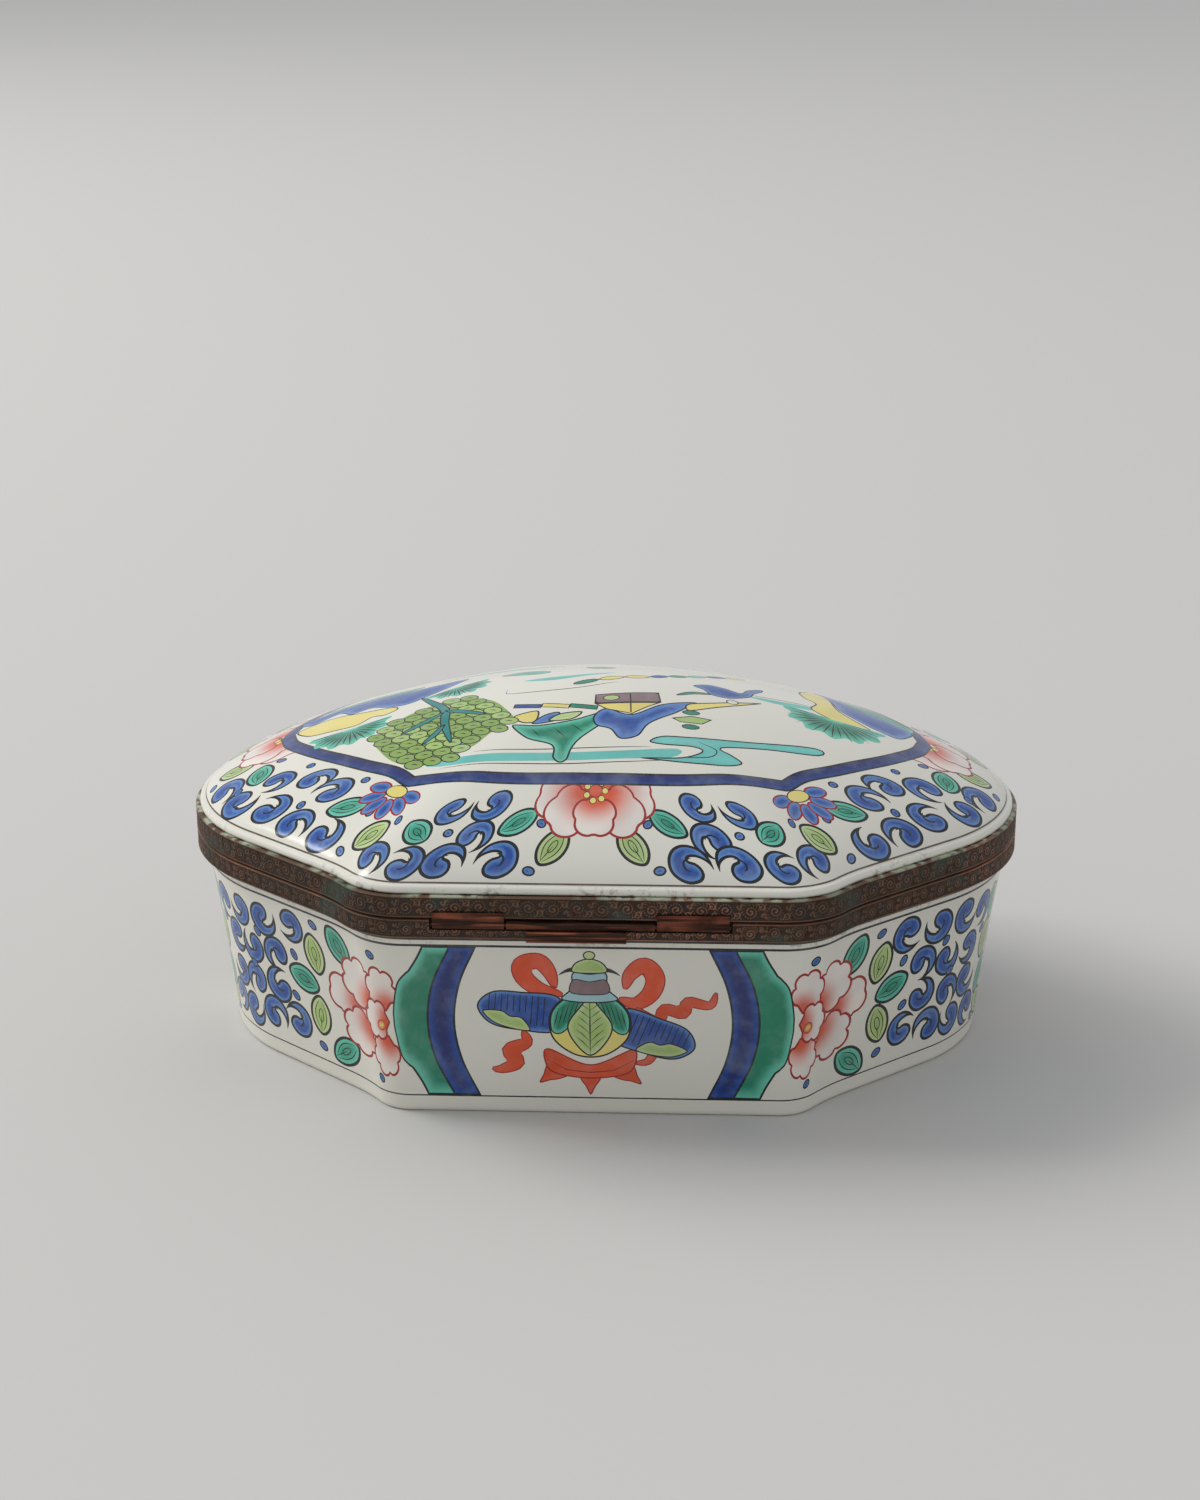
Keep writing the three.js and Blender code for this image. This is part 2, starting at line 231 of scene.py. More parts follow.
class Painting:
    """Enamels laid one over another, each a closed outline on the sheet that is cut up."""

    def __init__(self, lay):
        self.lay = lay
        self.layers = []

    def enamel(self, outline, rim, core=None, reach=1.0, root=None, density=1.0):
        """One colour, or two that blend over a reach from the edge or from a root."""
        sheet = self.lay(np.array(outline, float))
        seat = None if root is None else self.lay(np.array([root], float))[0]
        self.layers.append((sheet, rim, rim if core is None else core, reach, seat, density))

    def outlined(self, outline, line, width, rim, core=None, reach=1.0, root=None):
        """A dark line right round, and the colour that it holds."""
        outline = split(np.array(outline, float))
        self.enamel(outline, line, density=0.0)
        inner = drawn_in(outline, width)
        clear = self.within(inner, outline) & (self.depth(inner[:, None], outline)[:, 0] > width * 0.7)
        if clear.sum() > 2:
            self.enamel(inner[clear], rim, core, reach, root)

    def line(self, points, width, colour, taper=True):
        self.enamel(stroke(points, width, taper), colour, density=0.0)

    def loop(self, outline, width, colour, inside):
        self.enamel(outline, colour, density=0.0)
        self.enamel(drawn_in(np.array(outline, float), width), inside)

    def cut(self, border, seeds):
        """The sheet cut along every outline: points, triangles, and corner colours with density."""
        points = [border, seeds]
        edges = [np.arange(len(border))]
        ends = [np.roll(edges[0], -1)]
        total = len(border) + len(seeds)
        for sheet, *_ in self.layers:
            ring = total + np.arange(len(sheet))
            edges.append(ring)
            ends.append(np.roll(ring, -1))
            points.append(sheet)
            total += len(sheet)
        for sheet, rim, core, reach, *_ in self.layers:
            if core is not rim:
                points.append(drawn_in(sheet, reach * 0.5)[::2])
                points.append(drawn_in(sheet, reach)[::3])
        coords = [Vector(place) for place in np.vstack(points).tolist()]
        lines = np.stack([np.concatenate(edges), np.concatenate(ends)], -1).tolist()
        cut = delaunay_2d_cdt(coords, lines, [], 0, 1e-4, False)
        sheet_points = np.array([[v.x, v.y] for v in cut[0]])
        triangles = np.array(cut[2])
        middles = sheet_points[triangles].mean(1)
        top = np.zeros(len(triangles), int)
        for k, layer in enumerate(self.layers, 1):
            held = np.flatnonzero(((middles > layer[0].min(0)) & (middles < layer[0].max(0))).all(1))
            top[held[self.within(middles[held], layer[0])]] = k
        colours = np.empty((len(triangles), 3, 4))
        colours[...] = [*glaze_white, 0.0]
        order = np.argsort(top, kind="stable")
        starts = np.searchsorted(top[order], np.arange(len(self.layers) + 2))
        for k, (sheet, rim, core, reach, seat, density) in enumerate(self.layers, 1):
            mine = order[starts[k]:starts[k + 1]]
            if len(mine) == 0:
                continue
            blend = np.zeros((len(mine), 3))
            if core is not rim:
                corners = sheet_points[triangles[mine]]
                if seat is None:
                    blend = self.depth(corners, sheet) / reach
                else:
                    blend = 1.35 * (1 - np.linalg.norm(corners - seat, axis=-1) / reach)
                blend = np.clip(blend, 0, 1)
                blend = blend * blend * (3 - 2 * blend)
            colours[mine, :, :3] = rim + (core - rim) * blend[..., None]
            colours[mine, :, 3] = density
        return sheet_points, triangles, colours

    @staticmethod
    def within(places, sheet):
        """Which places an outline winds round."""
        winding = np.zeros(len(places), int)
        for (x0, y0), (x1, y1) in zip(sheet, np.roll(sheet, -1, 0)):
            if y0 == y1:
                continue
            left = places[:, 0] < x0 + (places[:, 1] - y0) * (x1 - x0) / (y1 - y0)
            crossed = (places[:, 1] >= min(y0, y1)) & (places[:, 1] < max(y0, y1))
            winding += np.where(left & crossed, 1 if y1 > y0 else -1, 0)
        return winding != 0

    @staticmethod
    def depth(corners, sheet):
        """How far points lie inside an outline."""
        side = np.roll(sheet, -1, 0) - sheet
        away = corners.reshape(-1, 2)[:, None] - sheet[None]
        share = np.clip((away * side).sum(-1) / np.maximum((side ** 2).sum(-1), 1e-12), 0, 1)
        near = np.linalg.norm(away - share[..., None] * side, axis=-1).min(1)
        return near.reshape(corners.shape[:2])


volute = curve([
    (-0.02, -0.98), (0.50, -0.90), (0.90, -0.56), (1.03, 0.00), (0.88, 0.52), (0.50, 0.88), (0.00, 1.00),
    (-0.50, 0.88), (-0.86, 0.50), (-1.02, 0.04), (-1.00, -0.02), (-0.84, 0.20), (-0.58, 0.36), (-0.26, 0.42),
    (0.00, 0.36), (0.12, 0.24), (0.06, 0.14), (-0.20, 0.12), (-0.46, -0.04), (-0.62, -0.36), (-0.50, -0.74),
], True, 0.12)
volute_hook = curve([(-0.02, 0.30), (0.20, 0.20), (0.32, -0.06), (0.20, -0.32), (0.00, -0.36)], False, 0.12)
outline_width = 0.62
hook_width = 0.42


def scroll(work, at, size, angle, flip):
    """A fat comma that curls in to a round head and runs out to a point."""
    work.outlined(turned(volute, angle, at, size, flip), ink, outline_width, cobalt_pale, cobalt, 0.7)
    work.line(turned(volute_hook, angle, at, size, flip), hook_width, ink)


def leaf(work, at, angle, colour="emerald", long=9.2, wide=6.2):
    """An oval leaf with a small eye of fine lines along its midrib."""
    rim, core = (emerald_pale, leaf_green) if colour == "emerald" else (lime_pale, lime)
    outer = ellipse(long, wide, 30)
    outer[:, 1] *= 1 - 0.22 * np.abs(outer[:, 0] / (long / 2)) ** 3
    work.outlined(turned(outer, angle, at), ink, outline_width, rim, core, 1.5)
    vein = 0.24
    for bulge in (0.27, -0.25):
        share = np.linspace(-0.40, 0.36, 12)
        rise = bulge * wide * np.cos(share / 0.42 * math.pi / 2)
        work.line(turned(np.stack([share * long, rise], -1), angle, at), vein, ink)
    work.loop(turned(ellipse(long * 0.34, wide * 0.24, 16), angle, at), 0.2, ink, core)
    work.line(turned([(-0.44 * long, 0.2), (-0.2 * long, 0.1), (0.02 * long, 0)], angle, at), vein, ink)


def dot(work, at, angle):
    work.outlined(turned(ellipse(2.7, 2.0, 14), angle, at), ink, 0.4, cobalt_pale, cobalt, 0.4)


petal_fullness = 0.52
petal_line = 0.55


def petal_shape(lobes):
    """A petal with its root at the origin, its tip at one, and a lobed edge."""
    angle = np.radians(np.linspace(-150, 150, 46))
    bump = np.abs(np.sin(lobes * (angle + math.radians(150)) / math.radians(300) * math.pi)) ** 0.6
    radius = petal_fullness * (0.82 + 0.18 * bump)
    edge = np.stack([0.5 + radius * np.cos(angle), radius * np.sin(angle)], -1)
    return np.vstack([edge, [[0.0, 0.0]]])


def petal(work, at, angle, size, lobes):
    shape = turned(petal_shape(lobes), angle, at, size)
    work.outlined(shape, brick, petal_line, coral_pale, coral, size * 0.7, root=at)


# Petals of the wall's flower, fanned out from the bracket's edge: root, turn, size and lobes
wall_petals = [
    ((1.0, 1.2), 10, 9.4, 4), ((-4.0, 3.0), 38, 11.0, 5), ((-2.6, -1.6), -34, 10.4, 5),
    ((-8.6, 2.4), 72, 9.6, 5), ((-8.6, -2.6), -70, 9.8, 5), ((-9.4, 0.2), 0, 9.0, 5),
]


def wall_flower(work, at, side):
    for (along, up), angle, size, lobes in wall_petals:
        root = (at[0] + side * along, at[1] + up)
        petal(work, root, angle if side > 0 else 180 - angle, size, lobes)
    heart = (at[0] - side * 6.4, at[1] - 0.8)
    work.outlined(turned(ellipse(3.0, 2.4, 14), 20, heart), brick, 0.2, coral, yellow, 0.9)


def peony(work, at, size, facing=0, half=False):
    """Broad outer petals round a red heart with yellow stamens; half of it where the frame cuts it."""
    spread = 1.4 if half else 1.0
    for angle, reach in [(-178, spread), (-2, spread), (60, 0.95), (118, 0.95), (-140, spread * 0.88),
                         (-40, spread * 0.88), (-90, 1.0)]:
        if not (half and 20 < angle < 160):
            root = turned([(0.06, 0)], angle + facing, at, size)[0]
            petal(work, root, angle + facing, size * 0.92 * reach, 4)
    heart = turned(ellipse(size * 0.34, size * 0.30, 16), facing, at)
    work.outlined(heart, brick, 0.25, coral)
    for k in range(7):
        spot = turned([(size * 0.22, 0)], 360 / 7 * k + facing, at)[0]
        work.outlined(turned(ellipse(1.9, 1.8, 10), 0, spot), ink, 0.18, yellow)


def daisy(work, at, angles, size):
    """Blue petals fanned out from a yellow eye."""
    for angle in angles:
        seat = turned([(size * 0.62, 0)], angle, at)[0]
        blade = turned(ellipse(size * 0.72, size * 0.44, 18), angle, seat)
        work.outlined(blade, brick, 0.42, cobalt_pale, cobalt, 0.9)
    work.outlined(turned(ellipse(6.0, 3.6, 18), 0, at), ink, 0.25, yellow)


# Where the motifs of the body's wall lie: millimetres along from the middle of a long
# side and up from the table, with the turn of each.
wall_scrolls = [
    (68.8, 31.4, 150, 0), (77.0, 31.0, 330, 1), (85.4, 30.8, 190, 0), (74.2, 24.0, 80, 1),
    (81.8, 23.2, 240, 0), (89.2, 23.4, 20, 1), (75.2, 17.0, 300, 0), (82.8, 15.6, 110, 1),
    (90.4, 16.0, 200, 0), (70.2, 10.6, 200, 1), (77.6, 9.4, 40, 0), (85.4, 8.2, 330, 1),
    (93.0, 8.6, 130, 0), (93.0, 30.2, 60, 1),
]
wall_leaves = [
    (55.2, 31.2, 62, "emerald"), (62.2, 27.0, 80, "lime"), (66.4, 20.6, 15, "emerald"),
    (63.0, 13.4, 100, "lime"), (56.6, 7.6, 140, "emerald"), (100.2, 30.2, 115, "emerald"),
    (98.4, 22.4, 80, "lime"), (99.0, 14.0, 60, "emerald"), (101.0, 6.8, 150, "lime"),
]
wall_dots = [
    (43.4, 33.4, 20), (61.6, 34.0, 30), (68.4, 25.6, 60), (79.6, 27.2, 50), (69.6, 15.6, 40),
    (44.8, 6.4, 25), (63.6, 6.8, 30), (94.6, 25.6, 40), (83.0, 19.6, 20), (105.6, 33.6, 20),
    (97.6, 4.9, 150),
]
painted_low = 2.4
painted_high = body_height - 0.2
foot_top = 3.7


def hand_placed(middle, side, jitter):
    """How the motifs of one quarter are set down: each a little out of place, and mirrored."""
    def at(along, across):
        return (middle + side * (along + jitter.uniform(-0.5, 0.5)), across + jitter.uniform(-0.4, 0.4))

    def turn(angle):
        return angle if side > 0 else 180 - angle

    return at, turn


def side_panel(work, middle, side, jitter):
    """One half of a long side and its quarter end: scrolls, leaves, dots and a flower."""
    at, turn = hand_placed(middle, side, jitter)
    for along, up, angle, flip in wall_scrolls:
        swung = turn(angle) + jitter.uniform(-8, 8)
        scroll(work, at(along, up), jitter.uniform(3.65, 4.05), swung, bool(flip) != (side < 0))
    for along, up, angle, colour in wall_leaves:
        leaf(work, at(along, up), turn(angle) + jitter.uniform(-6, 6), colour)
    for along, up, angle in wall_dots:
        dot(work, at(along, up), turn(angle))
    wall_flower(work, at(49.4, 19.4), side)


def bracket(work, middle, side):
    """A lobed green band and a blue band that bend round the white reserve."""
    top = painted_high - 2.1
    low = foot_top
    waist = (top + low) / 2
    bow = 1.2

    def placed_line(knots, spacing):
        return [(middle + side * along, up) for along, up in curve(knots, False, spacing)]

    def arc(mid_along, end_along):
        return placed_line([
            (end_along, top), (mid_along - bow, (top + waist) / 2), (mid_along, waist),
            (mid_along - bow, (waist + low) / 2), (end_along, low),
        ], 0.7)

    def lobed(*stretches):
        return sum((placed_line(knots, 0.6) for knots in stretches), [])

    inner = arc(25.9, 21.4)
    blue = arc(31.3, 26.6)
    green = lobed(
        [(31.6, top), (32.8, top - 2.6), (34.4, top - 5.4)],
        [(34.9, top - 5.8), (37.2, top - 8.4), (38.6, waist + 2.6), (38.8, waist), (38.6, waist - 2.6),
         (37.2, low + 8.4), (34.9, low + 6.2)],
        [(34.4, low + 5.8), (32.8, low + 2.8), (31.6, low)],
    )
    work.outlined(np.array(inner + green[::-1]), ink, 0.42, emerald_pale, emerald, 2.2)
    work.enamel(np.array(inner + blue[::-1]), ink)
    work.enamel(drawn_in(np.array(inner + blue[::-1]), 0.42), cobalt, cobalt_deep, 1.6)


def ribbon(work, knots, width):
    work.outlined(stroke(curve(knots, False, 0.6), width), brick, 0.22, coral)


def emblem(work, middle):
    """A gourd on a stand with striped wings and red ribbons, in the white reserve."""
    def put(shape):
        return np.array(shape, float) + [middle - 0.6, 0]

    for width, knots in (
        (3.8, [(-5, 26), (-9.4, 27.2), (-12.2, 29.8), (-12.4, 32.4), (-9.4, 33.2), (-7.4, 30.8),
               (-6.4, 27.4)]),
        (3.8, [(5.4, 25.4), (8.6, 24.4), (11.4, 26.6), (12.2, 30.0), (10.2, 32.6), (7.6, 30.6),
               (6.6, 27.4)]),
        (3.1, [(-12.6, 18.2), (-12.0, 15.6), (-15.2, 13.8), (-13.8, 11.2), (-17.0, 9.6), (-18.6, 9.8)]),
        (2.6, [(8.6, 23.4), (12.6, 20.6), (14.0, 23.2), (17.4, 22.4), (18.4, 24.8), (22.4, 24.2),
               (23.6, 27.0)]),
        (2.0, [(6.6, 15.6), (9.4, 16.6), (11.8, 14.4), (10.8, 11.8), (8.0, 11.4)]),
    ):
        ribbon(work, put(knots), width)
    stand = curve([
        (-8.0, 14.4), (-8.6, 11.2), (-6.6, 8.8), (0, 7.8), (6.6, 8.8), (8.6, 11.2), (8.0, 14.4), (0, 11),
    ])
    for root, lean in (((-5.4, 10.6), 222), ((0.0, 10.0), 270), ((5.4, 10.6), -42)):
        foot = [(0, -2.2), (2.4, -1.9), (3.8, -1.0), (5.8, 0), (3.8, 1.0), (2.4, 1.9), (0, 2.2)]
        work.outlined(put(turned(curve(foot), lean, root)), brick, 0.25, coral)
    work.outlined(put(stand), brick, 0.28, coral)
    work.line(put([(-8.2, 12.0), (-4.4, 9.7), (0, 9.2), (4.4, 9.7), (8.2, 12.0)]), 0.25, brick)
    for end, tilt, seat in ((-1, -5, (-13.2, 22.6)), (1, -21, (12.2, 17.4))):
        wing = curve([
            (-7.4, -3.8), (0, -4.4), (5.4, -3.4), (8.0, 0.2), (5.4, 3.5), (0, 4.0), (-7.4, 3.4),
        ], True, 0.7)
        work.outlined(put(turned(wing * [end, 1], tilt, seat)), ink, 0.32, cobalt_pale, cobalt, 0.9)
        for k in range(-4, 6):
            rib_x = end * k * 1.15
            rib = [(rib_x, -3.0 if k < -1 else -0.4), (rib_x, 1.4), (rib_x, 3.2)]
            work.line(put(turned(rib, tilt, seat)), 0.2, ink, False)
        patch = curve([
            (-2.4, -4.2), (0.6, -4.3), (4.6, -3.2), (6.9, -0.8), (3.4, -0.4), (1.6, -1.4), (-0.6, -1.6),
        ], True, 0.5)
        work.outlined(put(turned(patch * [end, 1], tilt, seat)), ink, 0.25, lime_pale, lime, 0.8)
    gourd = curve([
        (-4.6, 25.6), (0, 26.0), (4.6, 25.6), (7.6, 21.8), (7.2, 16.8), (3.8, 13.4), (0, 12.4), (-3.8, 13.4),
        (-7.2, 16.8), (-7.6, 21.8),
    ])
    work.outlined(put(gourd), ink, 0.34, yellow)
    for end in (-1, 1):
        flank = curve([
            (end * 0.6, 25.6), (end * 4.4, 25.4), (end * 7.2, 22.2), (end * 7.3, 18.2), (end * 5.4, 17.6),
            (end * 2.8, 20.4),
        ])
        work.outlined(put(flank), ink, 0.28, emerald_pale, emerald, 0.9)
        for k in range(5):
            rib = [
                (end * (1.8 + k), 25.2 - 0.5 * k), (end * (2.6 + 0.95 * k), 23.0 - 0.6 * k),
                (end * (3.3 + 0.9 * k), 20.8 - 0.6 * k),
            ]
            work.line(put(rib), 0.2, ink)
    middle_leaf = curve([
        (0, 25.6), (2.0, 23.4), (4.3, 19.4), (3.0, 15.6), (0, 12.8), (-3.0, 15.6), (-4.3, 19.4), (-2.0, 23.4),
    ])
    work.outlined(put(middle_leaf), ink, 0.3, lime_pale, lime, 1.0)
    work.line(put([(0, 25.2), (0, 19), (0, 13.0)]), 0.28, ink)
    for k in range(6):
        for end in (-1, 1):
            vein = [(0, 14.2 + 1.7 * k), (end * 1.4, 15.9 + 1.6 * k), (end * (2.9 - 0.2 * k), 17.2 + 1.4 * k)]
            work.line(put(vein), 0.18, ink)
    throat = curve([
        (-5.4, 25.2), (-3.4, 27.6), (-2.9, 31.0), (2.9, 31.0), (3.4, 27.6), (5.4, 25.2), (2.6, 24.4),
        (-2.6, 24.4),
    ], True, 0.5)
    work.outlined(put(throat), ink, 0.28, sky)
    collar = curve([(-3.7, 26.6), (-3.0, 29.4), (0, 29.0), (3.0, 29.4), (3.7, 26.6), (0, 26.0)], True, 0.5)
    work.outlined(put(collar), ink, 0.2, mauve)
    brim = curve([
        (-5.8, 30.2), (-3.6, 31.0), (0, 30.4), (3.6, 31.0), (5.8, 30.2), (3.2, 32.0), (-3.2, 32.0),
    ], True, 0.5)
    work.enamel(put(brim), ink)
    cap = curve([(-3.3, 31.0), (-2.6, 33.0), (0, 34.0), (2.6, 33.0), (3.3, 31.0), (0, 30.6)], True, 0.5)
    work.outlined(put(cap), ink, 0.28, lime_pale, lime, 0.7)
    work.outlined(put(turned(ellipse(2.4, 2.0, 14), 0, (0, 34.6))), ink, 0.25, lime_pale)


# The wall is laid on the sheet as a disc by a map that keeps angles, so it has no seam.
sheet_scale = girth / (2 * math.pi)
sheet_level = 20


def wall_lay(points):
    turn = points[:, 0] / sheet_scale
    radius = sheet_scale * np.exp((points[:, 1] - sheet_level) / sheet_scale)
    return np.stack([radius * np.cos(turn), radius * np.sin(turn)], -1)


def wall_lift(sheet):
    radius = np.linalg.norm(sheet, axis=1)
    along = np.arctan2(sheet[:, 1], sheet[:, 0]) * sheet_scale
    return along, np.log(radius / sheet_scale) * sheet_scale + sheet_level


columns = 480
round_steps = np.arange(columns) / columns * girth


def round_ground(work, edge, colour, density=1.0):
    """A colour laid right round, out to an edge. Two that lie close together leave a line."""
    around = np.arange(0, girth, 0.9)
    work.enamel(np.stack([around, 0 * around + edge], -1), colour, density=density)


body_work = Painting(wall_lay)
jitter = random.Random(7)
for line_height, width in ((painted_high - 0.6, 0.42), (painted_high - 2.0, 0.5)):
    round_ground(body_work, line_height + width / 2, ink)
    round_ground(body_work, line_height - width / 2, glaze_white, 0.0)
for middle in (0, 2 * quarter):
    for side in (-1, 1):
        side_panel(body_work, middle, side, jitter)
        bracket(body_work, middle, side)
    emblem(body_work, middle)
for middle in (quarter, -quarter):
    peony(body_work, (middle, 19.5), 12.2, 90)
    leaf(body_work, (middle - 8, 32), 30, "lime")
    leaf(body_work, (middle + 8, 6.6), 30, "emerald")
foot_line = 3.6
foot_line_width = 0.3
round_ground(body_work, foot_line + foot_line_width / 2, ink)
round_ground(body_work, foot_line - foot_line_width / 2, glaze_white, 0.0)
hole = np.stack([round_steps, 0 * round_steps + painted_low], -1)
body_work.enamel(hole, ink)
grid = 1.25
seed_along, seed_up = np.meshgrid(
    np.arange(0, girth, grid), np.arange(painted_low + 0.6, painted_high - 0.4, grid),
)
seed_along = seed_along + (np.arange(seed_along.shape[0]) % 2)[:, None] * grid / 2
seeds = wall_lay(np.stack([seed_along.ravel(), seed_up.ravel()], -1))
border = wall_lay(np.stack([round_steps, 0 * round_steps + painted_high], -1))


def skin_mesh(name, points, triangles, colours, rings, lifted_normals, unwrap):
    """A painted skin closed by plain rings of glaze, as one mesh with its own normals."""
    vertices = [points]
    faces = [triangles]
    kinds = [0]
    total = len(points)
    plain = np.array([*glaze_white, 0.0])
    for kind, (group, first_pole, last_pole) in enumerate(rings, 1):
        count = len(group[0])
        vertices.extend(group)
        around = np.arange(count)
        beside = (around + 1) % count
        for k in range(len(group) - 1):
            low = total + k * count
            high = low + count
            faces.append(np.stack([low + around, low + beside, high + beside], -1))
            faces.append(np.stack([low + around, high + beside, high + around], -1))
        last = total + count * (len(group) - 1)
        end = total + count * len(group)
        if first_pole is not None:
            vertices.append(first_pole[None])
            faces.append(np.stack([total + beside, total + around, 0 * around + end], -1))
            end += 1
        if last_pole is not None:
            vertices.append(last_pole[None])
            faces.append(np.stack([last + around, last + beside, 0 * around + end], -1))
            end += 1
        kinds += [kind] * (len(faces) - len(kinds))
        total = end
    vertices = np.vstack(vertices)
    unwrapped = np.vstack([unwrap(kind, part, vertices[part] / MM) for kind, part in zip(kinds, faces)])
    faces = np.vstack(faces)
    mesh = bpy.data.meshes.new(name)
    mesh.from_pydata(vertices.tolist(), [], faces.tolist())
    attribute = mesh.color_attributes.new("enamel", "FLOAT_COLOR", "CORNER")
    corner_colours = np.tile(plain, (len(faces) * 3, 1))
    corner_colours[:len(triangles) * 3] = colours.reshape(-1, 4)
    attribute.data.foreach_set("color", corner_colours.ravel())
    mesh.uv_layers.new(name="OFBake").data.foreach_set("uv", unwrapped.ravel())
    held = mesh.attributes.new("true_normal", "FLOAT_VECTOR", "POINT")
    held_normals = np.zeros((len(vertices), 3))
    held_normals[:len(points)] = lifted_normals
    held.data.foreach_set("vector", held_normals.ravel())
    shape = bmesh.new()
    shape.from_mesh(mesh)
    bmesh.ops.remove_doubles(shape, verts=shape.verts, dist=2e-6)
    bmesh.ops.recalc_face_normals(shape, faces=shape.faces)
    shape.to_mesh(mesh)
    shape.free()
    mesh.validate()
    for polygon in mesh.polygons:
        polygon.use_smooth = True
    held_normals = np.zeros(len(mesh.vertices) * 3)
    mesh.attributes["true_normal"].data.foreach_get("vector", held_normals)
    held_normals = held_normals.reshape(-1, 3)
    plain_normals = np.array([v.normal[:] for v in mesh.vertices])
    unset = np.linalg.norm(held_normals, axis=1) < 0.5
    held_normals[unset] = plain_normals[unset]
    mesh.normals_split_custom_set_from_vertices(held_normals.tolist())
    mesh.attributes.remove(mesh.attributes["true_normal"])
    piece = bpy.data.objects.new(name, mesh)
    bpy.context.scene.collection.objects.link(piece)
    return piece


def body_normals(along, height):
    _, _, inward_x, inward_y = plan(along)
    step = 0.05
    slope = (body_inset_at(height + step) - body_inset_at(height - step)) / (2 * step)
    normal = np.stack([-inward_x, -inward_y, slope], -1)
    return normal / np.linalg.norm(normal, axis=1, keepdims=True)


def level(inset, height):
    x, y, _, _ = plan(round_steps, inset)
    return placed(x, y, height)


sheet_points, triangles, colours = body_work.cut(border, seeds)
hole_radius = np.linalg.norm(wall_lay(hole[:1])[0])
on_wall = np.linalg.norm(sheet_points[triangles].mean(1), axis=1) > hole_radius * 0.99995
along, height = wall_lift(sheet_points)
wall_points = body_surface(along, height)

foot_inset = body_inset_at(foot_top) + 0.2
foot_width = 5
foot_round_width = 0.9
foot_round_height = 1.26
recess = 1.0
rim_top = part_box("base_porcelain")[1].z / MM
wall = 3.6
tucked_inset = 1.7
floor_height = 5
fillet = 4.0
foot = [level(foot_inset + foot_width + 1, recess), level(foot_inset + foot_width, 0.0)]
for turn in np.radians(np.linspace(0, 90, 7)):
    foot.append(level(
        foot_inset + foot_round_width * (1 - math.sin(turn)), foot_round_height * (1 - math.cos(turn)),
    ))
for lift in (1.7, 2.05):
    reached = (lift - foot_round_height) / (painted_low - foot_round_height)
    foot.append(level(foot_inset + (body_inset_at(painted_low) - foot_inset) * reached, lift))
foot.append(level(body_inset_at(painted_low), painted_low))
inside = [level(body_inset_at(painted_high), painted_high), level(tucked_inset, painted_high),
          level(tucked_inset, rim_top), level(tucked_inset + wall, rim_top)]
for share in (0.9, 0.75, 0.6, 0.45, 0.3):
    up = floor_height + (rim_top - floor_height) * share
    inside.append(level(body_inset_at(up) + wall, up))
fillet_inset = body_inset_at(floor_height + fillet) + wall
for turn in np.radians(np.linspace(0, 90, 7)):
    inside.append(level(
        fillet_inset + fillet * (1 - math.cos(turn)), floor_height + fillet * (1 - math.sin(turn)),
    ))
strips = 3
strip_length = girth / strips


def body_unwrap(kind, faces, corners):
    """The map for a bake: the wall in three strips, and the inside and the foot seen from above."""
    if kind == 0:
        places = along[faces]
        across_seam = places - places.min(1, keepdims=True) > girth / 2
        places = np.where(across_seam, places - girth, places) + girth / 2
        strip = np.clip(np.floor(places.mean(1, keepdims=True) / strip_length), 0, strips - 1)
        u = (places - strip * strip_length + 2) / (strip_length + 4)
        v = (strip + 0.02 + 0.96 * (height[faces] - painted_low) / (painted_high - painted_low)) / 4
    else:
        u = 0.01 + 0.5 * (kind - 1) + (corners[..., 0] + half_length) / (2 * half_length) * 0.36
        v = 0.752 + (corners[..., 1] + half_depth) / (2 * half_length) * 0.36
    return np.stack([u, v], -1)


centre = np.array(0.0)
body = skin_mesh(
    "painted_body", wall_points, triangles[on_wall][:, ::-1], colours[on_wall][:, ::-1],
    [(foot, placed(centre, centre, recess), None), (inside, None, placed(centre, centre, floor_height))],
    body_normals(along, height), body_unwrap,
)


class Wire:
    """One output of a material's node, with the arithmetic that joins it to others."""

    def __init__(self, socket):
        self.socket = socket

    def math(self, operation, *others):
        return node(self.socket.id_data, "ShaderNodeMath", {"operation": operation}, [self, *others])

    def __add__(self, other):
        return self.math("ADD", other)

    def __radd__(self, other):
        return self.math("ADD", other)

    def __sub__(self, other):
        return self.math("SUBTRACT", other)

    def __rsub__(self, other):
        return node(self.socket.id_data, "ShaderNodeMath", {"operation": "SUBTRACT"}, [other, self])

    def __mul__(self, other):
        return self.math("MULTIPLY", other)

    def __rmul__(self, other):
        return self.math("MULTIPLY", other)

    def clamped(self):
        return node(self.socket.id_data, "ShaderNodeClamp", {}, [self, 0.0, 1.0])

    def between(self, low, high, bottom=0.0, top=1.0):
        """The wire spread so that low and high become bottom and top, held to them."""
        settings = {"clamp": True}
        return node(self.socket.id_data, "ShaderNodeMapRange", settings, [self, low, high, bottom, top])


def node(tree, kind, settings, inputs, output=0):
    """Adds a node, sets what it is, joins or fills its inputs and hands back one output."""
    made = tree.nodes.new(kind)
    for name, value in settings.items():
        setattr(made, name, value)
    items = inputs.items() if isinstance(inputs, dict) else enumerate(inputs)
    for key, value in items:
        if isinstance(value, Wire):
            tree.links.new(value.socket, made.inputs[key])
        elif value is not None:
            made.inputs[key].default_value = value
    return Wire(made.outputs[output])


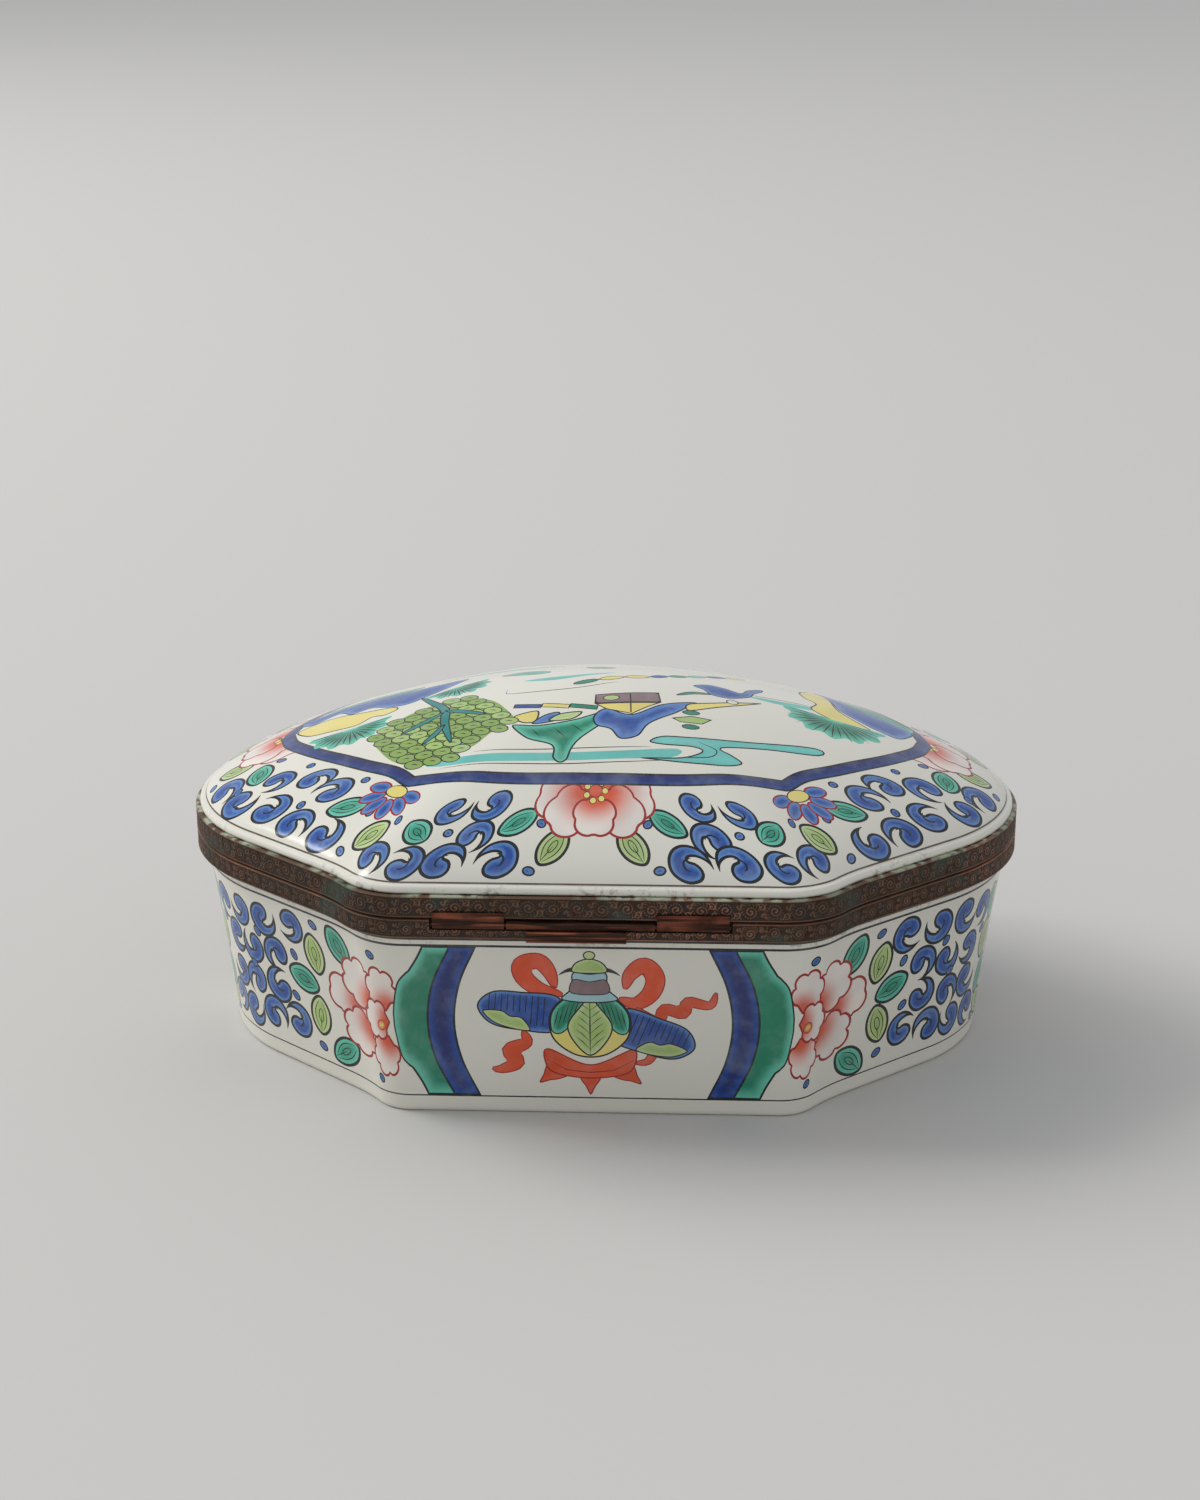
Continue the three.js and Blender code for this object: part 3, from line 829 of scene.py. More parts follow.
def mixed(tree, factor, first, second, blend="MIX"):
    """Two colours mixed: sockets 0, 6 and 7 are the factor and the colours."""
    settings = {"data_type": "RGBA", "blend_type": blend, "clamp_factor": True}
    first = first if isinstance(first, Wire) else (*first, 1)
    second = second if isinstance(second, Wire) else (*second, 1)
    return node(tree, "ShaderNodeMix", settings, {0: factor, 6: first, 7: second}, 2)


def new_material(name):
    material = bpy.data.materials.new(name)
    material.use_nodes = True
    tree = material.node_tree
    shader = tree.nodes["Principled BSDF"]
    return material, tree, shader


def feed(tree, shader, socket, value):
    if isinstance(value, Wire):
        tree.links.new(value.socket, shader.inputs[socket])
    else:
        shader.inputs[socket].default_value = value


def noise(tree, place, scale, detail, roughness=0.5):
    """Clouds or specks on a piece's own coordinates."""
    values = {"Vector": place, "Scale": scale, "Detail": detail, "Roughness": roughness}
    return node(tree, "ShaderNodeTexNoise", {}, values, "Fac")


def porcelain_material(name, dirt_low, dirt_high):
    """Clear glaze over enamels: washes that thin and pool, and brown dirt beside the metal."""
    material, tree, shader = new_material(name)
    place = node(tree, "ShaderNodeTexCoord", {}, [], "Object")
    paint = node(tree, "ShaderNodeVertexColor", {"layer_name": "enamel"}, [])
    density = Wire(paint.socket.node.outputs["Alpha"])
    wash = noise(tree, place, 420, 3)
    pooled = noise(tree, place, 150, 2)
    thin = density * (wash.between(0.45, 0.75) * 0.06 + pooled.between(0.5, 0.75) * 0.10)
    colour = mixed(tree, thin, paint, (0.70, 0.80, 0.80))
    pool = noise(tree, place, 105, 1)
    colour = mixed(tree, density * pool.between(0.45, 0.65) * 0.30, colour, (0.62, 0.66, 0.72), "MULTIPLY")
    cloud = noise(tree, place, 35, 2)
    colour = mixed(tree, cloud.between(0.4, 0.7) * 0.05, colour, (0.62, 0.60, 0.52))
    height = node(tree, "ShaderNodeSeparateXYZ", {}, [place], "Z")
    grime = noise(tree, place, 700, 4, 0.7)
    patch = noise(tree, place, 60, 2)
    near_metal = height.between(dirt_low, dirt_high)
    dirt = near_metal * grime.between(0.54, 0.60) * patch.between(0.52, 0.58)
    colour = mixed(tree, dirt * 0.8, colour, (0.09, 0.045, 0.025))
    feed(tree, shader, "Base Color", colour)
    feed(tree, shader, "Roughness", wash.between(0.3, 0.7, 0.10, 0.17) + dirt * 0.4)
    feed(tree, shader, "IOR", 1.52)
    feed(tree, shader, "Specular IOR Level", 0.55)
    ripple = noise(tree, place, 55, 1)
    bump = node(tree, "ShaderNodeBump", {}, {"Strength": 0.10, "Distance": 0.0006, "Height": ripple})
    feed(tree, shader, "Normal", bump)
    return material


body.data.materials.append(porcelain_material("enamelled_body", 0.0360, 0.0384))
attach(body, "base")
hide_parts("base_porcelain")

# The lid's porcelain
# A thin moulded dome that keeps the body's outline at its rim and rounds off towards the
# crown. A border of scrolls, leaves and flowers runs round a framed landscape.
lid_band_top = band_high.z / MM
dome_foot = 48.5
dome_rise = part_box("lid_porcelain")[1].z / MM - dome_foot
dome_inset = 2.0
dome_power = 1.6
dome_fullness = 0.75
crown_ease = 0.6
dome_length = half_length - dome_inset
dome_depth = half_depth - dome_inset
table_along = np.linspace(0, girth, 1801)
edge_x, edge_y, _, _ = plan(table_along, dome_inset)
table_angle = np.unwrap(np.arctan2(edge_y / dome_depth, edge_x / dome_length))


def dome(sheet_x, sheet_y):
    """The dome over a place on the sheet, which is the lid's plan drawn as an ellipse."""
    angle = np.arctan2(sheet_y / dome_depth, sheet_x / dome_length)
    scale = np.clip(np.hypot(sheet_x / dome_length, sheet_y / dome_depth), 0, 1)
    start = table_angle[0]
    along = np.interp((angle - start) % (2 * math.pi), table_angle - start, table_along)
    x, y, _, _ = plan(along, dome_inset)
    roundness = (1 - scale) ** crown_ease
    x = (x * (1 - roundness) + dome_length * np.cos(angle) * roundness) * scale
    y = (y * (1 - roundness) + dome_depth * np.sin(angle) * roundness) * scale
    z = dome_foot + dome_rise * (1 - scale ** dome_power) ** dome_fullness
    return placed(x, y, z)


# How far in from the rim each part of the dome lies, measured over its surface
depth_along = np.linspace(0, girth, 361)
depth_scale = 1 - np.linspace(0, 0.75, 90) ** 1.5
depth_angle = np.interp(depth_along, table_along, table_angle)
meridians = np.stack([
    dome(dome_length * s * np.cos(depth_angle), dome_depth * s * np.sin(depth_angle)) for s in depth_scale
])
depth_steps = np.linalg.norm(np.diff(meridians, axis=0), axis=2)
depth_in = np.concatenate([np.zeros((1, len(depth_along))), np.cumsum(depth_steps, 0) / MM])
least_depth = 0.08


def border_lay(points):
    """Millimetres along the rim and in from it, turned into a place on the sheet."""
    along = points[:, 0] % girth
    column = along / girth * (len(depth_along) - 1)
    left = np.floor(column).astype(int) % (len(depth_along) - 1)
    part = column - np.floor(column)
    scale = np.array([
        np.interp(max(inwards, least_depth), depth_in[:, c] * (1 - p) + depth_in[:, c + 1] * p, depth_scale)
        for inwards, c, p in zip(points[:, 1], left, part)
    ])
    angle = np.interp(along, table_along, table_angle)
    return np.stack([dome_length * scale * np.cos(angle), dome_depth * scale * np.sin(angle)], -1)


# Where the motifs of the lid's border lie: millimetres along from the middle of a long side
# and in from the rim, with the turn of each.
lid_scrolls = [
    (25.6, 18.4, 200, 0), (34.2, 17.8, 330, 1), (25.2, 10.4, 80, 0), (19.2, 4.9, 160, 1),
    (28.6, 4.6, 20, 0), (37.4, 5.0, 200, 1), (45.4, 4.8, 60, 0), (60.4, 4.6, 250, 1),
    (69.4, 4.8, 30, 0), (70.2, 14.6, 150, 1), (78.4, 17.0, 20, 0), (78.6, 6.6, 200, 1),
    (86.4, 12.6, 80, 0), (87.6, 4.6, 300, 1), (97.0, 4.6, 30, 0),
]
lid_leaves = [
    (8.6, 8.0, 120, "lime"), (16.6, 13.4, 145, "emerald"), (39.6, 12.4, 30, "emerald"),
    (50.6, 8.8, 110, "lime"), (61.6, 12.4, 150, "emerald"), (94.6, 12.0, 30, "emerald"),
    (104.6, 8.0, 120, "lime"),
]
lid_dots = [
    (12.2, 13.0, 40), (12.4, 2.8, 20), (47.2, 14.0, 60), (53.6, 2.6, 40), (55.8, 12.4, 70),
    (66.6, 19.8, 20), (72.6, 9.2, 50), (86.4, 19.4, 20), (92.8, 6.4, 60), (102.6, 2.6, 20),
    (97.0, 17.6, 150), (32.0, 11.6, 40),
]


def plan_lay(points):
    """Places in plan on the lid, turned into places on the sheet by closing in on them."""
    sheet = points.copy()
    for _ in range(6):
        reached = dome(sheet[:, 0], sheet[:, 1])
        sheet += points - np.stack([reached[:, 0], reached[:, 1] - middle_y], -1) / MM
    return sheet


def frame_outline():
    """The picture's frame in plan: four straight-edged bays that meet in pointed cusps."""
    long_side = curve([(0, -34.8), (17, -34.3), (35.2, -31.6)], False, 1.0)
    end = curve([(35.8, -31.2), (39, -27.6), (46, -22.6), (55, -15), (61.6, -6.6), (63.8, 0)], False, 1.0)
    near_right = np.vstack([long_side, end])
    right = np.vstack([near_right, near_right[::-1][1:] * [1, -1]])
    return np.vstack([right, right[::-1][1:-1] * [-1, 1]])


def lid_border(work, middle, side, jitter):
    """A quarter of the lid's border: scrolls, leaves, dots and a daisy under the frame's cusp."""
    at, turn = hand_placed(middle, side, jitter)
    for along, inwards, angle, flip in lid_scrolls:
        seat = at(along, inwards)
        size = jitter.uniform(3.9, 4.4)
        scroll(work, seat, size, turn(angle) + jitter.uniform(-8, 8), bool(flip) != (side < 0))
    for along, inwards, angle, colour in lid_leaves:
        leaf(work, at(along, inwards), turn(angle), colour)
    for along, inwards, angle in lid_dots:
        dot(work, at(along, inwards), turn(angle))
    daisy(work, (middle + side * 55.0, 19.2), [turn(a) for a in (-182, -146, -110, -74, -38, -2)], 8.2)


# The framed landscape: closed shapes in plan, from the far shore to the near one, with the
# rim colour and the core colour of each.
far_shapes = [
    ([(-36, 24), (-30, 28), (-22, 30.5), (-12, 29), (-4, 26), (-14, 24), (-24, 22.6)], emerald_pale, emerald),
    ([(-8, 25), (0, 30), (10, 31), (20, 28.5), (26, 25), (12, 23)], cobalt_pale, cobalt),
    ([(22, 24.5), (28, 28), (38, 26), (42, 21.5), (32, 20.6)], lime_pale, lime),
    ([(-21, 7.2), (-16, 8.6), (-11, 6.2), (-13, 4.6), (-18, 5.6)], emerald_pale, emerald),
    ([(-4, 9.4), (-1, 10), (2, 8.6), (0, 7.2), (-3, 7.6)], emerald_pale, emerald),
]
left_bank = [
    ([(-58, 10.5), (-50, 12), (-44, 11.8), (-37, 10.8), (-40, 8.5), (-47, 10), (-54, 9.5)],
     emerald_pale, emerald),
    ([(-62, 6), (-58, 8.4), (-54, 9.5), (-47, 10), (-40, 8.5), (-34, 9.5), (-28, 10.4), (-31, 5), (-35, 1),
      (-39, -1.6), (-43, -0.8), (-47, 2), (-51, 1.4), (-54, 5), (-59, 2.4)], cobalt_pale, cobalt),
    ([(-62, 0.6), (-58, 2.6), (-54, 2.6), (-49, 0.6), (-42, -1.4), (-41, -3.4), (-43.5, -5), (-46, -4.4),
      (-49, -6.6), (-54, -6), (-59, -4.4)], yellow, yellow),
]
right_bank = [
    ([(47, 17), (53, 14.4), (58, 11), (62, 8), (61.5, 4.5), (56, 7.5), (51, 10)], emerald_pale, emerald),
    ([(42, 18), (46, 16.4), (51, 10), (56, 7.5), (61.5, 4.5), (60.5, 0), (58, -3), (54, -2), (52, -1),
      (47, 3.6), (45, 11)], cobalt_pale, cobalt),
    ([(39, 12), (42, 17), (45, 12), (47, 3), (53.4, -4), (50.5, -7.6), (45, -4), (41, -0.4), (42, 4),
      (39.6, 7)], yellow, yellow),
]
islands = [
    ([(-17, -19), (-12, -19.6), (-5, -18), (2, -14.6), (1.6, -18), (-3.4, -24), (-5, -27), (-5.8, -30),
      (-7.2, -30.8), (-8.6, -29.4), (-9, -26), (-14, -23.6)], emerald_pale, emerald),
    ([(-17, -16), (-14, -14.6), (-12, -14.8), (-12.4, -18.4), (-15, -18.6)], yellow, yellow),
    ([(-13.2, -19.2), (-11, -16.3), (-8, -15.4), (-8.6, -18.4)], cobalt_pale, cobalt),
    ([(-10, -18.4), (-8, -16.0), (-3.6, -15.4), (-5.4, -18.0)], lime_pale, lime),
    ([(-1.4, -17), (1, -14.2), (6, -16), (12, -11.4), (18.4, -9.2), (16.4, -12.2), (14, -15), (9.5, -19),
      (7.4, -23), (4, -24), (2, -21.2), (-0.8, -20)], cobalt_pale, cobalt),
    ([(17, -13), (16.6, -10.4), (22, -8), (31, -4.2), (28, -6.8), (22, -10.4)], yellow, yellow),
]
branch_lines = [
    ([(-36.6, 0.4), (-34, -4), (-31, -9), (-30.4, -15), (-28.6, -22)], 2.0),
    ([(-31, -10), (-34, -12.4), (-39, -15.6)], 1.5),
    ([(-30.4, -15), (-32, -18), (-34.4, -21)], 1.4),
    ([(-31, -9.4), (-27.4, -11), (-22.4, -13.6)], 1.5),
]


def shapes(work, listed):
    for knots, rim, core in listed:
        work.outlined(curve(knots), ink, 0.36, rim, core, 1.6)


def pine(work, root, reach, start, sweep):
    """A fan of needles: a green tuft with a ragged edge and dark lines that run from its root."""
    needles = 17
    flattening = 0.86
    share = np.linspace(0, 1, 30)
    angle = np.radians(start + sweep * share)
    ragged = reach * (0.92 + 0.08 * np.sin(share * 40))
    edge = np.stack([ragged * np.cos(angle), flattening * ragged * np.sin(angle)], -1)
    work.enamel(np.vstack([edge, [[0.0, 0.0]]]) + root, emerald_pale, emerald, 2.6)
    for k in range(needles):
        angle = math.radians(start + sweep * (k + 0.5) / needles)
        tip = np.array([math.cos(angle), flattening * math.sin(angle)]) * reach
        needle = [root + tip * 0.18, root + tip * 0.6, root + tip * (0.96 - 0.1 * (k % 2))]
        work.line(np.array(needle), 0.36, ink)


def tree(work):
    """A round tree: an olive crown with rows of small leaves like scales, and a branch over it."""
    crown = curve([
        (-45.4, -16), (-43, -11), (-38, -6.4), (-30, -3.6), (-22, -6.4), (-17.6, -12), (-15.6, -17.6),
        (-20, -21.4), (-23, -25), (-29, -28.4), (-35, -28.6), (-40, -25.6), (-43.4, -21),
    ])
    work.enamel(drawn_in(crown, 1.2), olive)
    row_step = 2.4
    leaf_step = 3.5
    for row in range(10):
        y = -5.2 - row_step * row
        for x in np.arange(-44, -14, leaf_step) + leaf_step / 2 * (row % 2):
            seat = np.array([[x, y]])
            if Painting.within(seat, drawn_in(crown, 0.9))[0]:
                lean = -14 + 9 * math.sin(1.7 * x + row)
                scale_leaf = turned(ellipse(4.1, 2.8, 16), lean, (x, y))
                work.loop(scale_leaf, 0.24, ink, lime if (row + int(x)) % 3 == 0 else olive)
                work.line(turned([(-0.6, 0.0), (0.1, 0.15), (0.8, 0.0)], lean, (x, y)), 0.3, ink)
    for knots, width in branch_lines:
        work.outlined(stroke(curve(knots, False, 0.6), width), ink, 0.25, hue(0.10, 0.50, 0.48))


def water(work):
    """Bands of pale turquoise water between fine dark lines, with one long curl."""
    for knots in (
        [(-31, -27), (-9, -28), (4, -27.4), (15, -26.2), (14, -28.6), (4, -29.6), (-9, -30.2), (-30, -29)],
        [(28, -1.6), (35, -0.6), (42, 0.6), (41, -1.4), (34, -2.6)],
        [(-16, 0.4), (-6, 1.4), (2, 2.8), (-2, 1), (-10, -1)],
        [(-34, 13.6), (-22, 13.4), (-8, 12), (-16, 14.6), (-26, 15.4)],
        [(4, 16), (16, 17), (30, 17.4), (18, 18.6), (8, 18)],
        [(-30, 19), (-16, 20), (0, 20), (-14, 21.2)],
    ):
        work.enamel(curve(knots), teal)
    for knots in (
        [(-24, -26.2), (-9, -27), (10, -26)],
        [(-30, -29.6), (-9, -31), (4, -30.4), (14, -29.4)],
        [(-19, -4), (-18, -6.2), (-6, -6), (3, -3)],
        [(28, -0.8), (35, 0.2), (42, 1.2)],
        [(-34, 16), (-20, 15), (-6, 12.6)],
        [(6, 19), (18, 19.6), (32, 18.6)],
    ):
        work.line(curve(knots, False), 0.26, ink)
    curl = curve([
        (9.6, -24.4), (12, -22.6), (18, -22.2), (29, -20.6), (41.6, -17.8), (42, -20.2), (31, -22.4),
        (23.4, -24.4), (25.4, -26), (27.4, -28), (24, -29.8), (17, -30), (8, -29.2), (16, -28.4),
        (19.6, -26.4), (18, -25.4), (12, -25.2),
    ])
    work.outlined(curl, ink, 0.34, teal, teal * 1.15, 1.2)
    work.line(curve([(19, -23.6), (22.4, -25.4), (21, -27.8), (15, -28.6)], False), 0.26, ink)


def house(work):
    """A small house on the blue bank, with a low wall of three coloured blocks beside it."""
    roof = [(-1.4, -9), (11, -6.8), (11.6, -11), (-1.4, -12.6)]
    below = [(-1.4, -12.6), (11.6, -11), (9, -13.2), (6, -16), (1, -14.6)]
    work.outlined(np.array(below), ink, 0.3, yellow)
    work.outlined(np.array(roof), ink, 0.3, mauve)
    work.line([(5.4, -7.8), (5.6, -11), (5.8, -15.4)], 0.28, ink, False)
    work.outlined(turned(ellipse(3.4, 2.2, 14), 8, (1.8, -10.2)), ink, 0.25, lime_pale, lime, 0.6)
    for k, colour in enumerate((cobalt, yellow, emerald)):
        seat = (-14.4 + 5.5 * k, -12.4 - 0.6 * k)
        block = turned([(-2.8, -0.8), (2.8, -0.8), (2.8, 0.8), (-2.8, 0.8)], -10, seat)
        work.outlined(block, ink, 0.26, colour)


def small_things(work):
    """A pavilion on the water, a bird over it and a row of stepping stones."""
    pavilion = [(13.6, -16.4), (17.5, -14.8), (21.6, -15.2), (19.6, -17.4), (15.4, -17.6)]
    work.outlined(np.array(pavilion), ink, 0.26, lime)
    for y in (-13.6, -18.8):
        work.outlined(turned(ellipse(3.6, 1.9, 12), 5, (17.4, y)), ink, 0.25, emerald)
    bird = curve([
        (17.6, -0.8), (20.6, 1.2), (24, 0.6), (27, -0.6), (28.4, 2.2), (31.2, 4.8), (31.4, 3), (29.8, 0.6),
        (28.8, -2.2), (25, -4.8), (21.4, -4.6), (19.6, -2.4),
    ], True, 0.5)
    work.outlined(stroke(curve([(14.4, -7), (17.6, -5), (21.6, -4.2)], False), 1.3), ink, 0.25, emerald)
    work.outlined(bird, ink, 0.3, cobalt_pale, cobalt, 0.8)
    work.loop(turned(ellipse(2.6, 2.2, 14), 0, (25.4, -6.4)), 0.26, ink, glaze_white)
    stones = [
        (-6, -4), (-1, -2), (4, 0), (9, 1.4), (12.6, 3.4), (16.4, 5.2), (20, 7.6), (24, 10.4), (28, 13.2),
    ]
    stone_colours = (emerald, yellow, yellow, cobalt, emerald, teal, cobalt, yellow)
    for colour, start, end in zip(stone_colours, stones, stones[1:]):
        work.outlined(stroke(curve([start, end], False, 0.6), 2.0), ink, 0.28, colour)


def landscape(work):
    shapes(work, far_shapes)
    water(work)
    shapes(work, left_bank)
    shapes(work, right_bank)
    pine(work, np.array([-30.0, 3.4]), 7.4, 215, 175)
    pine(work, np.array([-50.0, -7.6]), 8.4, 178, 195)
    pine(work, np.array([45.6, -3.6]), 10.4, 168, 195)
    shapes(work, islands)
    folds = (((-13, -21), (-11.4, -23)), ((-9, -20.4), (-6.6, -23.4)), ((-5.4, -19.6), (-3.4, -21.8)))
    for start, end in folds:
        work.line(np.array([start, (np.array(start) + end) / 2, end]), 0.26, ink)
    tree(work)
    house(work)
    small_things(work)


lid_work = Painting(border_lay)
jitter = random.Random(11)
rim_line = 0.12
rim_line_width = 0.35
round_ground(lid_work, rim_line, hue(0.34, 0.27, 0.20))
round_ground(lid_work, rim_line + rim_line_width, glaze_white, 0.0)
for middle in (0, 2 * quarter):
    for side in (-1, 1):
        lid_border(lid_work, middle, side, jitter)
    peony(lid_work, (middle, 21.0), 11.5, 0, True)
for middle in (quarter, -quarter):
    peony(lid_work, (middle, 19.5), 11.0, 0, True)
lid_work.lay = plan_lay
frame_middle = frame_outline()
frame_half_width = 1.5
frame_line_width = 0.45
lid_work.enamel(drawn_in(frame_middle, -frame_half_width), ink)
lid_work.enamel(
    drawn_in(frame_middle, frame_line_width - frame_half_width), cobalt * 0.8, cobalt_deep, 0.9,
)
lid_work.enamel(drawn_in(frame_middle, frame_half_width - frame_line_width), ink)
lid_work.enamel(drawn_in(frame_middle, frame_half_width), glaze_white, density=0.0)
landscape(lid_work)

rim_angle = np.interp(round_steps, table_along, table_angle)
rim_on_sheet = np.stack([dome_length * np.cos(rim_angle), dome_depth * np.sin(rim_angle)], -1)
seed_x, seed_y = np.meshgrid(
    np.arange(-dome_length, dome_length, grid), np.arange(-dome_depth, dome_depth, grid),
)
seed_x = seed_x + (np.arange(seed_x.shape[0]) % 2)[:, None] * grid / 2
seeds = np.stack([seed_x.ravel(), seed_y.ravel()], -1)
seeds = seeds[np.hypot(seeds[:, 0] / dome_length, seeds[:, 1] / dome_depth) < 0.985]
near_rim = [rim_on_sheet * scale for scale in (0.998, 0.994, 0.988)]
seeds = np.vstack([seeds, *near_rim])
sheet_points, triangles, colours = lid_work.cut(rim_on_sheet, seeds)
lid_points = dome(sheet_points[:, 0], sheet_points[:, 1])
reach = np.hypot(sheet_points[:, 0] / dome_length, sheet_points[:, 1] / dome_depth)
held = sheet_points * np.minimum(1, 0.995 / np.maximum(reach, 1e-6))[:, None]
step = 0.05
ahead_x = dome(held[:, 0] + step, held[:, 1]) - dome(held[:, 0] - step, held[:, 1])
ahead_y = dome(held[:, 0], held[:, 1] + step) - dome(held[:, 0], held[:, 1] - step)
lid_normals = np.cross(ahead_x, ahead_y)
lid_normals /= np.maximum(np.linalg.norm(lid_normals, axis=1, keepdims=True), 1e-12)


def dome_level(inset, foot_height, rise, scale):
    x, y, _, _ = plan(round_steps, inset)
    angle = np.arctan2(y / (half_depth - inset), x / (half_length - inset))
    roundness = (1 - scale) ** crown_ease
    x = (x * (1 - roundness) + (half_length - inset) * np.cos(angle) * roundness) * scale
    y = (y * (1 - roundness) + (half_depth - inset) * np.sin(angle) * roundness) * scale
    return placed(x, y, foot_height + rise * (1 - scale ** dome_power) ** dome_fullness)


rim_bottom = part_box("lid_porcelain")[0].z / MM
inner_rim = 46.4
inner_top = dome_foot + dome_rise - wall
hollow = []
for scale in (0.1, 0.2, 0.3, 0.4, 0.5, 0.6, 0.7, 0.78, 0.85, 0.9, 0.94, 0.97, 0.985, 0.995, 1.0):
    hollow.append(dome_level(tucked_inset + wall + 0.6, inner_rim, inner_top - inner_rim, scale))
hollow.append(level(tucked_inset + wall + 0.2, inner_rim - 0.8))
hollow.append(level(tucked_inset + wall, rim_bottom))
hollow.append(level(tucked_inset, rim_bottom))
overhang = 0.8
shoulder_low = lid_band_top + 0.2
shoulder_inset = tucked_inset - overhang
shoulder = [level(tucked_inset, rim_bottom), level(tucked_inset, shoulder_low)]
for turn in np.radians(np.linspace(0, 90, 9)):
    shoulder.append(level(
        shoulder_inset + (dome_inset - shoulder_inset) * (1 - math.cos(turn)) ** 1.3,
        shoulder_low + (dome_foot - shoulder_low) * math.sin(turn) ** 0.8,
    ))


def lid_unwrap(kind, faces, corners):
    """The map for a bake: the dome from above, its shoulder spread round it, the inside smaller."""
    span = 2 * half_length + 8
    spread = 1 + np.clip(dome_foot - corners[..., 2], 0, 4) / half_length * (kind == 2)
    share = 0.45 if kind == 1 else 1.0
    u = share * (corners[..., 0] * spread + span / 2) / span + 0.02 * (kind == 1)
    v = share * (corners[..., 1] * spread + half_depth + 3) / span + 0.70 * (kind == 1)
    return np.stack([u, v], -1)


crown = placed(centre, centre, inner_top)
lid = skin_mesh(
    "painted_lid", lid_points, triangles, colours,
    [(hollow, crown, None), (shoulder, None, None)],
    lid_normals, lid_unwrap,
)
lid.data.materials.append(porcelain_material("enamelled_lid", 0.0488, 0.0466))
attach(lid, "lid")
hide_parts("lid_porcelain")

# The metal bands
# Two rings of rolled bronze strip clasp the rims of the body and the lid. Each is an angle
# section, its upright face chased all round with running scrolls and rubbed to copper.
repeats = 50
unit = girth / repeats
per_unit = 58
band_columns = repeats * per_unit
band_along = np.arange(band_columns) / band_columns * girth
engraving = 0.16
chasing_step = 0.19
band_edge = 0.25
edge_line_tone = 0.15
band_thickness = 1.5
flange_thickness = 0.9
inner_inset = tucked_inset + wall
hinge_x = -2
channel_half_length = 27.65
channel_radius = 1.0
hinge_height = 41.3
hinge_inset = 0.35


def tendril(centre, size, start, turns, hand):
    """A spiral that winds in to its centre."""
    share = np.linspace(0, 1, 26)
    angle = math.radians(start) + hand * turns * 2 * math.pi * share
    radius = size * (1 - 0.86 * share)
    return np.stack([centre[0] + radius * np.cos(angle), centre[1] + radius * np.sin(angle)], -1)


def scroll_relief(face_height, rows):
    """How far the chased face stands up, over one repeat: the vine, its tendrils and leaves."""
    reach = face_height / 2
    strokes = []
    for seat, hand in ((0.0, 1), (0.5, -1)):
        middle = np.array([(seat + 0.22) * unit, -0.08 * hand * reach])
        strokes.append((tendril(middle, 0.86 * reach, 200 * hand, 1.7, hand), 0.17))
        for k in range(7):
            lean = math.radians((15 + 27 * k) * hand)
            knots = []
            for share, sway in ((0.92, 0.0), (1.25, 0.3), (1.45, 0.75)):
                turn = lean + sway * hand
                knots.append(middle + share * reach * np.array([math.cos(turn), math.sin(turn)]))
            strokes.append((curve(knots, False, 0.2), 0.12))
        small = np.array([(seat + 0.44) * unit, 0.52 * hand * reach])
        strokes.append((tendril(small, 0.46 * reach, 120 * hand, 1.2, -hand), 0.13))
        low = np.array([(seat + 0.47) * unit, -0.58 * hand * reach])
        strokes.append((tendril(low, 0.36 * reach, -40 * hand, 1.0, hand), 0.12))
    along, up = np.meshgrid(np.arange(per_unit) / per_unit * unit, np.linspace(-reach, reach, rows))
    relief = np.zeros(along.shape)
    for line, width in strokes:
        for shift in (-unit, 0, unit):
            gap = np.hypot(along[..., None] - line[:, 0] - shift, up[..., None] - line[:, 1]).min(-1)
            relief = np.maximum(relief, np.exp(-(gap / width) ** 2 * 0.7))
    return relief


